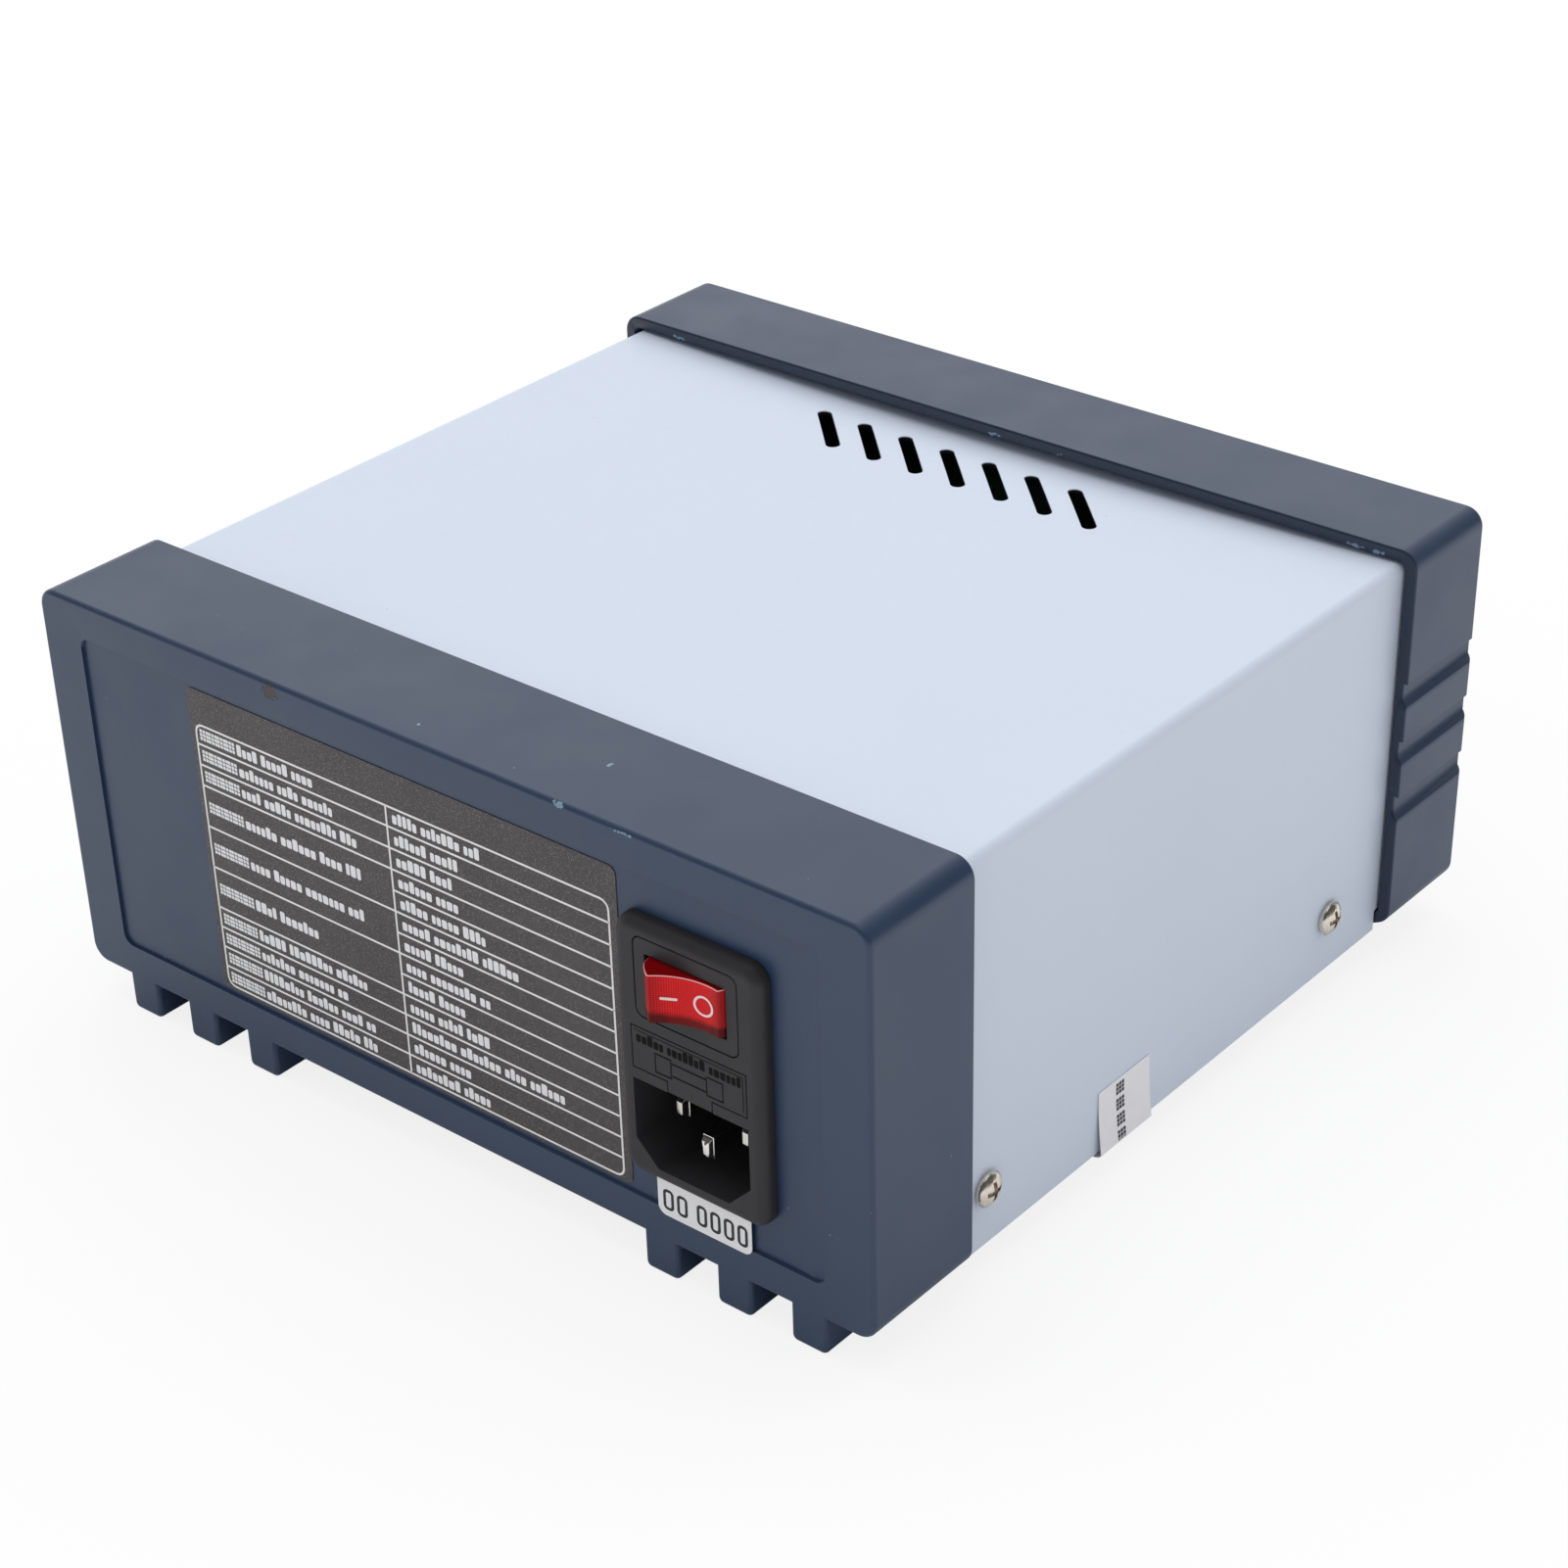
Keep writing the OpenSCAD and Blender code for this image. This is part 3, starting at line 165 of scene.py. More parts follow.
class Paint:
    """A Principled material whose patterns are sized in millimetres."""

    def __init__(self, name, color, rough, metal=0.0, **sockets):
        self.material = bpy.data.materials.new(name)
        self.material.use_nodes = True
        self.tree = self.material.node_tree
        self.shader = self.tree.nodes["Principled BSDF"]
        self.put("Base Color", color)
        self.put("Roughness", rough)
        self.put("Metallic", metal)
        for socket, value in sockets.items():
            self.put(socket.replace("_", " "), value)
        self.place = self.node("ShaderNodeTexCoord", out="Object")

    def put(self, socket, value):
        if isinstance(value, Wire):
            self.tree.links.new(value.socket, self.shader.inputs[socket])
        else:
            self.shader.inputs[socket].default_value = value

    def node(self, kind, settings=None, values=None, out=0):
        node = self.tree.nodes.new(kind)
        for key, value in (settings or {}).items():
            setattr(node, key, value)
        for key, value in (values or {}).items():
            if isinstance(value, Wire):
                self.tree.links.new(value.socket, node.inputs[key])
            else:
                node.inputs[key].default_value = value
        return Wire(self.tree, node.outputs[out])

    def axis(self, name):
        """The x, y or z of the point, in millimetres."""
        return self.node("ShaderNodeSeparateXYZ", {}, {0: self.place}, name.upper()) * (1 / MM)

    def noise(self, size, detail=2.0, stretch=(1, 1, 1)):
        """Soft noise from 0 to 1 with grains of that size; stretch draws them out."""
        place = self.node("ShaderNodeMapping", {},
                          {"Vector": self.place, "Scale": [1 / s for s in stretch]})
        return self.node("ShaderNodeTexNoise", {},
                         {"Vector": place, "Scale": 1 / (size * MM), "Detail": detail})

    def spots(self, size):
        """Distance from the middle of scattered cells, in cells."""
        return self.node("ShaderNodeTexVoronoi", {},
                         {"Vector": self.place, "Scale": 1 / (size * MM)}, "Distance")

    def ramp(self, value, low, high, start=0.0, end=1.0):
        """A smooth step from start to end as value goes from low to high."""
        return self.node("ShaderNodeMapRange", {"interpolation_type": "SMOOTHSTEP"},
                         {"Value": value, "From Min": low, "From Max": high,
                          "To Min": start, "To Max": end})

    def patch(self, at, size, rough=1.5):
        """One inside a small ragged spot at a place on the piece, 0 outside it."""
        off = [(self.axis(axis) - middle) / half for axis, middle, half in zip("xyz", at, size)]
        reach = off[0] * off[0] + off[1] * off[1] + off[2] * off[2]
        return self.ramp(reach + self.noise(0.7, 4) * rough, 0.5 + rough / 2, 0.35 + rough / 2)

    def mix(self, factor, first, second):
        return self.node("ShaderNodeMix", {"data_type": "RGBA"}, {0: factor, 6: first, 7: second}, 2)

    def bump(self, height, depth):
        """Relief of that depth in millimetres."""
        self.put("Normal", self.node("ShaderNodeBump", {}, {"Height": height, "Distance": depth * MM}))
        return self


def shade(color, factor):
    """The same colour, lighter or darker."""
    return tuple(min(1, c * factor) for c in color[:3]) + (1,)


def grained(name, color, rough, grain=0.3, depth=0.012, cloud=12, spread=0.08, **sockets):
    """A moulded or coated surface: fine grain in its relief, slow clouds in its colour."""
    paint = Paint(name, color, rough, **sockets)
    fine, slow = paint.noise(grain, 3), paint.noise(cloud)
    cloudy = slow * 0.7 + fine * 0.3
    paint.put("Base Color", paint.mix(cloudy, shade(color, 1 - spread), shade(color, 1 + spread)))
    paint.put("Roughness", paint.ramp(fine * 0.5 + slow * 0.5, 0.3, 0.7, rough * 0.88, rough * 1.12))
    return paint.bump(fine, depth)


def drawn(name, color, rough, along="y", scratch=0.25, **sockets):
    """Bare metal with marks drawn out along one axis."""
    paint = Paint(name, color, rough, 1.0, **sockets)
    stretch = [30 if axis == along else 1 for axis in "xyz"]
    marks, stain = paint.noise(scratch, 3, stretch), paint.noise(9)
    paint.put("Base Color", paint.mix(stain, shade(color, 0.9), shade(color, 1.06)))
    paint.put("Roughness", paint.ramp(marks, 0.3, 0.7, rough * 0.75, rough * 1.3))
    return paint.bump(marks, 0.006)


print("grained and drawn make most finishes")

# %% [markdown]
# ## Working on the solids
# Machined-sharp edges give a model away. Real mouldings and folded sheet have small radii
# that catch light, so each visible solid is copied, its seams are merged and its edges
# over 30 degrees are bevelled. Weighted normals keep the broad faces flat beside them.

# %% Mesh tools
paints = {}


def merged(node):
    """A copy of a solid as one closed skin with flat faces whole."""
    bm = bmesh.new()
    bm.from_mesh(nodes[node].data)
    bmesh.ops.remove_doubles(bm, verts=bm.verts, dist=1e-6)
    bmesh.ops.dissolve_limit(bm, angle_limit=math.radians(0.5), verts=bm.verts, edges=bm.edges)
    return bm


def rounded(bm, edges, width, segments=2):
    if edges:
        bmesh.ops.bevel(bm, geom=edges, offset=width * MM, offset_type="OFFSET", segments=segments,
                        profile=0.5, affect="EDGES", clamp_overlap=False, material=-1)


def sharp_edges(bm, angle=30):
    return [e for e in bm.edges if e.is_manifold and e.calc_face_angle() > math.radians(angle)]


def finish_piece(name, bm, paint, body="case", instead=(), smooth=35):
    """Turns a mesh into a piece that rides on a body and may stand for CAD solids."""
    mesh = bpy.data.meshes.new(name)
    bm.to_mesh(mesh)
    bm.free()
    mesh.shade_smooth()
    mesh.set_sharp_from_angle(angle=math.radians(smooth))
    piece = bpy.data.objects.new(name, mesh)
    mesh.materials.append(paint.material)
    scene.collection.objects.link(piece)
    weighted = piece.modifiers.new("flat faces", "WEIGHTED_NORMAL")
    weighted.keep_sharp = True
    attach(piece, body)
    if instead:
        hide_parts(*instead)
    print(name, "has", len(mesh.polygons), "faces")
    return piece


def soften(node, width, segments=2):
    """Replaces a solid by a copy of it with rounded edges, in the same finish."""
    bm = merged(node)
    rounded(bm, sharp_edges(bm), width, segments)
    body = nodes[node]["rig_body"]
    return finish_piece(node + "_skin", bm, paints[slot_of[node]], body, [node])


print("softening reaches every edge over 30 degrees")

# %% [markdown]
# ## Print
# Rules, bars and symbols are flat shapes laid out on a face and lowered on to the solid
# below them, as a screen lays ink. `Print` collects the shapes of one ink.

# %% Print
class Print:
    """Flat shapes of one ink, in millimetres on a face, a hair above the solid."""

    def __init__(self):
        self.bm = bmesh.new()

    def bar(self, x, y, w, h, turn=0, r=0):
        """A rectangle with its middle at x, y and corners of radius r."""
        at = Matrix.Translation((x, y, 0)) @ Matrix.Rotation(math.radians(turn), 4, "Z") @ \
            Matrix.Diagonal((w, h, 1, 1))
        new = bmesh.ops.create_grid(self.bm, x_segments=1, y_segments=1, size=0.5, matrix=at)["verts"]
        if r:
            new = bmesh.ops.bevel(self.bm, geom=new, offset=r, offset_type="OFFSET", segments=4,
                                  profile=0.5, affect="VERTICES", clamp_overlap=True, material=-1)["verts"]
        return new

    def frame(self, x, y, w, h, line, r=0):
        """The outline of such a rectangle."""
        new = self.bar(x, y, w, h, 0, r)
        face = list({f for v in new for f in v.link_faces})
        bmesh.ops.inset_region(self.bm, faces=face, thickness=line, use_boundary=True, use_even_offset=True)
        bmesh.ops.delete(self.bm, geom=face, context="FACES_ONLY")

    def ring(self, x, y, r, line):
        at = Matrix.Translation((x, y, 0))
        new = bmesh.ops.create_circle(self.bm, cap_ends=True, segments=40, radius=r, matrix=at)["verts"]
        face = list({f for v in new for f in v.link_faces})
        bmesh.ops.inset_region(self.bm, faces=face, thickness=line, use_boundary=True, use_even_offset=True)
        bmesh.ops.delete(self.bm, geom=face, context="FACES_ONLY")

    def words(self, x, y, w, h, rng):
        """A run of blocks in the rhythm of words, low ones and a few tall, with no letter in it."""
        end = x + w
        while x < end - h:
            for _ in range(rng.randint(4, 8)):
                width = h * rng.uniform(0.38, 0.58)
                height = h * rng.choice((0.74, 0.74, 1.0))
                if x + width > end:
                    return
                self.bar(x + width / 2, y - (h - height) / 2, width, height, 0, h * 0.14)
                x += width + h * 0.1
            x += h * 0.34

    def weave(self, x, y, size):
        """A block of nine small squares, as dense as a written sign."""
        for column in (-1, 0, 1):
            for row in (-1, 0, 1):
                self.bar(x + column * size * 0.36, y + row * size * 0.36, size * 0.29, size * 0.29)

    def pointer(self, x, y, r, turn):
        """A solid triangle that points the way it is turned, up at 0."""
        at = Matrix.Translation((x, y, 0)) @ Matrix.Rotation(math.radians(turn), 4, "Z")
        bmesh.ops.create_circle(self.bm, cap_ends=True, segments=3, radius=r, matrix=at)

    def on(self, name, place, solid, paint, lift=0.03, cuts=0):
        """Stands the drawing up with its matrix and lowers it on to the solid."""
        bm = self.bm
        if cuts:
            bmesh.ops.subdivide_edges(bm, edges=bm.edges, cuts=cuts, use_grid_fill=True)
        source = bmesh.new()
        source.from_mesh(nodes[solid].data)
        tree = BVHTree.FromBMesh(source)
        down = (place.to_3x3() @ Vector((0, 0, -1))).normalized()
        missed = 0
        for vert in bm.verts:
            start = place @ Vector((vert.co.x, vert.co.y, 40))
            hit = tree.ray_cast(start, down)[0]
            missed += hit is None
            vert.co = (hit if hit else place @ vert.co) - down * lift * MM
        source.free()
        body = nodes[solid]["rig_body"]
        print(name, "missed", missed)
        return finish_piece(name, bm, paint, body)


print("Print draws bars, frames, rings, words, signs and pointers")

# %% [markdown]
# ## Navy plastic of the bezels
# The bezels are moulded in a fine spark-eroded tool, which leaves a matt, slightly cloudy
# surface. Handling adds pale specks. The colour itself is a deep blue. The grey bloom on
# top of it is reflection, so it is left to the light.

# %% Bezel finish
navy = rgb(38, 60, 90)
paint = paints["bezel_plastic"] = Paint("bezel_plastic", navy, 0.38, IOR=1.56)
fine, slow = paint.noise(0.22, 3), paint.noise(14)
tone = paint.mix(slow * 0.6 + fine * 0.4, shade(navy, 0.86), shade(navy, 1.14))
dust = paint.ramp(paint.spots(5), 0.035, 0.02) * paint.ramp(paint.noise(9), 0.52, 0.6)
scuff = paint.ramp(paint.noise(0.5, 4, (6, 1, 1)), 0.7, 0.76) * paint.ramp(paint.noise(22), 0.55, 0.65)
tone = paint.mix(dust * 0.7 + scuff * 0.25, tone, rgb(150, 170, 195))
print("navy is", [round(c, 3) for c in navy[:3]])

# %% [markdown]
# Each groove in the front bezel's sides is a soft hollow: its floor turns outwards as it
# comes down to the lower ledge, and the ledge runs out softly below. The solid has that
# ledge as one flat. A fall in the relief, which ends out of sight under the groove's upper
# lip, bends the light as the hollow does. The lip's end face gets painted shade: its colour
# is darkened where it meets the cover.

# %% Groove hollows
groove_middle, groove_pitch = 37.7, 11.9
starts, deepest, hidden = -3.4, 0.2, 2.1         # heights in a groove, from its middle
up = paint.axis("z") - foot_h - groove_middle
hollow = 0
for k in (-1, 0, 1):
    at = k * groove_pitch
    hollow += paint.ramp(up, at + starts, at + deepest) * (up < at + hidden)
hollow = hollow * (paint.axis("y") < y_open + 0.1) * (abs(paint.axis("x")) > case_w / 2 - 1.5)
# Painted shade: the lip's end face is darkened where it meets the cover.
edge = abs(paint.axis("y") - y_open)
tone = paint.mix(paint.ramp(edge, 0.3, 0.15) * 0.6, tone, rgb(14, 22, 36))
print("three hollows,", groove_pitch, "mm apart")

# %% [markdown]
# The bezels have had some knocks. Each is a ragged spot held to one place: a brown chip
# and a few pale grazes on the rear bezel's upper edge, and rubs on the front one's lip.

# %% Knocks on the bezels
case_top = foot_h + case_h
chip = paint.patch((34.5, y_rear - 0.6, case_top - 1.9), (3.0, 2, 2.1), 1.6)
graze = paint.patch((-31.5, y_rear - 0.4, case_top - 0.5), (2.2, 1, 0.7), 2.2)
graze += paint.patch((-45, y_rear - 0.3, case_top - 0.7), (3, 0.6, 0.35), 3)
graze += paint.patch((4, y_rear - 5, case_top), (0.5, 0.6, 1)) + \
    paint.patch((-30, y_rear - 14, case_top), (0.5, 1, 1))
graze += paint.patch((-86, y_rear - 0.6, foot_h + 18), (2.4, 1, 0.2), 2.5) * 0.5
for x, long in ((79.5, 2.8), (-0.5, 2.2), (-16, 1.3), (-81, 2.6), (-86, 2.2)):
    graze += paint.patch((x, y_open - 0.2, case_top - 1.8), (long, 0.5, 0.6), 2.2)
tone = paint.mix(graze * 0.75, tone, rgb(140, 168, 190))
paint.put("Base Color", paint.mix(chip, tone, rgb(52, 38, 36)))
paint.put("Roughness", paint.ramp(fine * 0.4 + slow * 0.6, 0.3, 0.7, 0.33, 0.43))
paint.bump(fine + slow * 2 - chip * 6 - hollow * 75, 0.012)
print(len(paint.tree.nodes), "nodes make the bezels' finish")

# %% [markdown]
# The open end of each bezel has the largest radius, where a finger first meets it. Its
# outer edges are found by the way their faces look: one along the case, one outwards. The
# grip grooves in the front bezel's sides have their long edges broken too. The comb feet
# carry their own radii in the solid, so a bevel there would only fold over itself.

# %% Bezels
def bezel(node, open_y, rim, groove):
    bm = merged(node)
    lip = []
    for e in sharp_edges(bm, 40):
        middle = (e.verts[0].co + e.verts[1].co) / 2
        if any(abs(v.co.y - open_y) > 1e-5 or v.co.z < (foot_h + 0.1) * MM for v in e.verts):
            continue
        out = Vector((middle.x, 0, middle.z - (foot_h + case_h / 2) * MM))
        if any(abs(f.normal.y) < 0.5 and f.normal.dot(out) > 0 for f in e.link_faces):
            lip.append(e)
    rounded(bm, lip, rim, 3)
    ridges = [e for e in sharp_edges(bm, 25) if e.is_convex and e.calc_length() > 15 * MM
              and abs(e.verts[0].co.y - e.verts[1].co.y) > 15 * MM and e.verts[0].co.z > (foot_h + 5) * MM
              and abs(e.verts[0].co.x) > (case_w / 2 - 1.2) * MM]
    rounded(bm, ridges, groove, 3)
    print(node, "lip edges", len(lip), "and groove edges", len(ridges))
    return finish_piece(node + "_skin", bm, paints["bezel_plastic"], "case", [node])


bezel("rear_bezel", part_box("rear_bezel")[0].y, 0.4, 0.25)
bezel("front_bezel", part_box("front_bezel")[1].y, 0.4, 0.25)

# %% [markdown]
# ## Steel cover
# The cover is folded from 1 mm steel and powder coated in a pale blue white. Powder flows
# out as it cures and leaves a faint orange peel. The sheet isn't held at the middle of its
# front edge, so it dips there, and a dark gap opens under the front bezel. The walls of the
# vent slots behind that edge are painted near black, as painted shade.

# %% Cover finish
sag, sag_reach = 1.5, 22
low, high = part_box("top_cover")
pale = rgb(210, 220, 237)
paint = paints["cover_paint"] = Paint("cover_paint", pale, 0.4, IOR=1.5)
peel, slow, fine = paint.noise(1.6), paint.noise(40), paint.noise(0.3, 3)
tone = paint.mix(slow * 0.8 + fine * 0.2, shade(pale, 0.975), shade(pale, 1.02))
dust = paint.ramp(paint.spots(6), 0.03, 0.015) * paint.ramp(paint.noise(15), 0.5, 0.56)
tone = paint.mix(dust * 0.6, tone, rgb(120, 130, 150))
x, y, z = paint.axis("x"), paint.axis("y"), paint.axis("z")
still = 1 - paint.node("ShaderNodeClamp", {}, {"Value": (y - y_open) / sag_reach})
dip = (1 - x * x / (high.x / MM) ** 2) * still * still * still * sag
below = high.z / MM - dip - z
# Painted shade: faces lying below the sagged top near the front edge, the vent slots' walls, are painted
# near black.
slot_wall_shade = paint.ramp(below, 0.12, 0.3) * (abs(x) < 50) * (y < y_open + 24) * (y > y_open + 3)
paint.put("Base Color", paint.mix(slot_wall_shade, tone, rgb(34, 34, 36)))
paint.put("Roughness", paint.ramp(peel, 0.3, 0.7, 0.36, 0.46))
paint.bump(peel, 0.006)
print("pale is", [round(c, 3) for c in pale[:3]])

# %% [markdown]
# Flat faces have no vertices to sag by. So the cover is first cut into strips, every 2 mm
# near its front edge and every 10 mm across, and then the top alone is let down.

# %% Cover
def slice_at(bm, place, normal):
    bmesh.ops.bisect_plane(bm, geom=bm.verts[:] + bm.edges[:] + bm.faces[:], dist=1e-7,
                           plane_co=place, plane_no=normal)


bm = merged("top_cover")
for step in range(16):
    slice_at(bm, Vector((0, (y_open - 6 + 2 * step) * MM, 0)), (0, 1, 0))
for step in range(-8, 9):
    slice_at(bm, Vector((step * 10 * MM, 0, 0)), (1, 0, 0))
top_skin, fold_reach = 1.5, 2.2                  # what counts as the top, and as a side's fold
for vert in bm.verts:
    if vert.co.z < high.z - top_skin * MM or abs(vert.co.x) > high.x - fold_reach * MM:
        continue
    back = min(1, max(0, (vert.co.y / MM - y_open) / sag_reach))
    side = 1 - (vert.co.x / high.x) ** 2
    vert.co.z -= sag * MM * side * (1 - back) ** 3
rounded(bm, sharp_edges(bm, 40), 0.12, 2)
finish_piece("cover_skin", bm, paints["cover_paint"], "case", ["top_cover"])

# %% [markdown]
# ## The other finishes
# One line makes each finish: its colour, how rough it is, and how coarse its grain.

# %% Finishes of the outside
paints["tray_steel"] = drawn("tray_steel", rgb(190, 192, 194), 0.42, "y")
paints["screw_steel"] = drawn("screw_steel", rgb(236, 226, 214), 0.24, "z", 0.12)
paints["inlet_plastic"] = grained("inlet_plastic", rgb(50, 48, 51), 0.5, 0.2, 0.006, 8, 0.1, IOR=1.4)
paints["pin_metal"] = grained("pin_metal", rgb(240, 238, 234), 0.16, 0.6, 0.001, 4, 0.03, metal=1.0)
paints["tab_metal"] = drawn("tab_metal", rgb(214, 205, 180), 0.3, "y")
paints["overlay_film"] = grained("overlay_film", rgb(40, 44, 52), 0.5, 0.12, 0.004, 20, 0.06)
paints["key_plastic"] = grained("key_plastic", rgb(118, 126, 140), 0.5, 0.15, 0.006, 6, 0.06)
paints["jack_nickel"] = drawn("jack_nickel", rgb(214, 212, 206), 0.22, "x", 0.15)
paints["jack_insulator"] = grained("jack_insulator", rgb(236, 234, 228), 0.4, 0.2, 0.003)
paints["contact_gold"] = drawn("contact_gold", rgb(226, 190, 112), 0.2, "y", 0.1)
paints["sticker_film"] = grained("sticker_film", rgb(244, 244, 246), 0.35, 0.5, 0.004, 6, 0.01)
paints["seal_paper"] = grained("seal_paper", rgb(240, 238, 242), 0.35, 5, 0.5, 3, 0.03)
print(len(paints), "finishes so far")

# %% [markdown]
# Boards, parts and leads hardly show, but a part that is opened up is looked at inside too.

# %% Finishes of the inside
paints["frame_steel"] = drawn("frame_steel", rgb(190, 192, 194), 0.35, "x")
paints["board_green"] = grained("board_green", rgb(24, 92, 54), 0.25, 0.8, 0.01, 5, 0.15)
paints["board_brown"] = grained("board_brown", rgb(158, 122, 70), 0.4, 0.6, 0.01, 7, 0.12)
paints["chip_black"] = grained("chip_black", rgb(36, 36, 38), 0.5, 0.12, 0.006)
paints["relay_plastic"] = grained("relay_plastic", rgb(222, 224, 221), 0.35, 0.2, 0.004)
paints["film_cap"] = grained("film_cap", rgb(170, 50, 42), 0.25, 0.6, 0.008)
paints["header_plastic"] = grained("header_plastic", rgb(236, 232, 220), 0.45, 0.2, 0.005)
paints["transformer"] = grained("transformer", rgb(214, 180, 60), 0.4, 0.5, 0.02)
paints["capacitor"] = grained("capacitor", rgb(40, 56, 100), 0.25, 0.4, 0.005)
paints["terminal_green"] = grained("terminal_green", rgb(52, 130, 82), 0.45, 0.2, 0.005)
paints["brass"] = drawn("brass", rgb(214, 176, 100), 0.3, "z")
paints["fuse_metal"] = drawn("fuse_metal", rgb(212, 212, 210), 0.25, "z")
paints["lead_brown"] = grained("lead_brown", rgb(122, 70, 48), 0.45, 0.3, 0.005)
paints["lead_green"] = grained("lead_green", rgb(140, 176, 66), 0.45, 0.3, 0.005)
paints["lead_dark"] = grained("lead_dark", rgb(54, 56, 62), 0.45, 0.3, 0.005)
paints["ribbon"] = grained("ribbon", rgb(165, 168, 174), 0.5, 0.3, 0.02)
paints["backlight"] = grained("backlight", rgb(236, 240, 240), 0.5, 0.4, 0.004)
paints["lcd_glass"] = grained("lcd_glass", rgb(128, 146, 128), 0.12, 0.3, 0.001, 12, 0.04)
paints["fuse_glass"] = grained("fuse_glass", rgb(236, 242, 242), 0.04, 0.5, 0.001, 8, 0.02,
                               Transmission_Weight=0.9)
paints["window_glass"] = grained("window_glass", rgb(238, 243, 245), 0.03, 3, 0.001, 30, 0.02,
                                 Transmission_Weight=1.0, IOR=1.49)
print(len(paints), "finishes with the inside's")

# %% [markdown]
# ## Label film
# The rating label is a charcoal film with metal flake in it, which glitters as a fine grey
# grain. The flake is two scales of noise, cut high so that only the peaks show.

# %% Label finish
coal = rgb(66, 61, 62)
paint = paints["label_film"] = Paint("label_film", coal, 0.42)
flake, mica, slow = paint.noise(0.22, 4), paint.noise(0.5, 3), paint.noise(18)
tone = paint.mix(paint.ramp(mica * 0.5 + slow * 0.5, 0.35, 0.65), shade(coal, 0.85), shade(coal, 1.12))
paint.put("Base Color", paint.mix(paint.ramp(flake, 0.56, 0.7) * 0.6, tone, rgb(150, 146, 145)))
paint.put("Roughness", paint.ramp(flake, 0.35, 0.65, 0.5, 0.3))
paint.bump(flake, 0.01)

ink_white = grained("ink_white", rgb(238, 238, 240), 0.45, 0.2, 0.002, 5, 0.03)
ink_black = grained("ink_black", rgb(30, 30, 34), 0.45, 0.2, 0.002, 5, 0.1)
print("charcoal is", [round(c, 3) for c in coal[:3]])

# %% [markdown]
# ## Ruled table
# A frame with round corners, a divider and thirteen rows. On the left some rows share a
# cell, so fewer rules cross it. The entries are blocks, not words, so that the label
# names nothing.

# %% Rating label
left, right, divider = -55.85, 40.9, -9.1
bottom, top, line = 8.7, 63.2, 0.42
rows = 13
pitch = (top - bottom) / rows
tall = (3, 5, 7)                                  # rows that share a cell with the next
word_h, sign_h, sign_step = 2.3, 2.15, 2.2
table = Print()
table.frame((left + right) / 2, (top + bottom) / 2, right - left, top - bottom, line, 1.9)
table.bar(divider, (top + bottom) / 2, line, top - bottom - line)
for k in range(1, rows):
    y = top - k * pitch
    table.bar((divider + right) / 2, y, right - divider - line, line)
    if k - 1 not in tall:
        table.bar((left + divider) / 2, y, divider - left - line, line)
rng = random.Random(7)
for k in range(rows):
    y = top - (k + 0.5) * pitch
    table.words(divider + 1.4, y, rng.choice((14, 16, 20, 28, 36)), word_h, rng)
    if k - 1 in tall:
        continue
    y -= pitch / 2 if k in tall else 0
    for sign in range(4):
        table.weave(left + (sign + 1) * sign_step, y, sign_h)
    table.words(left + 10.4, y, rng.choice((16, 19, 23, 29)), word_h, rng)
table.on("table_print", REAR, "rating_label", ink_white)
soften("rating_label", 0.03)

# %% [markdown]
# ## Sticker and seal
# Both are cut from a sheet, so their edges are only just broken. The sticker carries rounded
# rings that say nothing, and the seal a column of square signs down its side.

# %% Voltage sticker and seal
soften("voltage_sticker", 0.03)
soften("tamper_seal", 0.03)
low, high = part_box("voltage_sticker")
middle = -(low.x + high.x) / 2 / MM
stamp = Print()
ring_y, ring_h, stroke, corner = 9.3, 4.2, 0.58, 0.9
x = middle - 8.9
for wide, gap in ((2.3, 0.7), (2.3, 2.0), (2.2, 0.7), (2.2, 0.7), (2.2, 0.7), (2.2, 0)):
    stamp.frame(x + wide / 2, ring_y, wide, ring_h, stroke, corner)
    x += wide + gap
stamp.on("sticker_print", REAR, "voltage_sticker", ink_black)

SIDE = SCALE @ Matrix(((0, 0, -1, -case_w / 2), (0, 1, 0, 0), (1, 0, 0, foot_h), (0, 0, 0, 1)))
low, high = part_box("tamper_seal")
column = Print()
sign_h, sign_step = 2.3, 3.2
for k in range(4):
    column.weave(high.z / MM - foot_h - 2 - k * sign_step, low.y / MM + 8.9, sign_h)
column.on("seal_print", SIDE, "tamper_seal", ink_black)

# %% [markdown]
# ## Mains inlet
# A black moulding with soft edges holds a snap-in switch, a fuse drawer and the three
# pins of the socket. It is glossier than the bezels.

# %% Inlet
soften("inlet_housing", 0.12)
soften("switch_frame", 0.2)
bm = merged("inlet_pins")
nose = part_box("inlet_pins")[1].y
rounded(bm, [e for e in bm.edges if all(abs(v.co.y - nose) < 1e-5 for v in e.verts)], 0.55, 1)
rounded(bm, sharp_edges(bm, 60), 0.12)
finish_piece("inlet_pins_skin", bm, paints["pin_metal"], "case", ["inlet_pins"])
soften("fuse_drawer", 0.12)
inlet_x, inlet_y = 58.9, 39
low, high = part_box("fuse_drawer")
drawer_top = high.z / MM - foot_h
raised = Print()
raised.bar(inlet_x, drawer_top - 0.6, 22.8, 0.16)
raised.bar(inlet_x + 11.3, drawer_top - 4, 0.16, 6.6)
raised.words(inlet_x - 10.9, drawer_top - 1.8, 22, 2.0, rng)
mark_black = grained("moulded_mark", rgb(12, 12, 13), 0.6, 0.2, 0.004, IOR=1.2)
raised.on("drawer_print", REAR, "fuse_drawer", mark_black, 0.02)
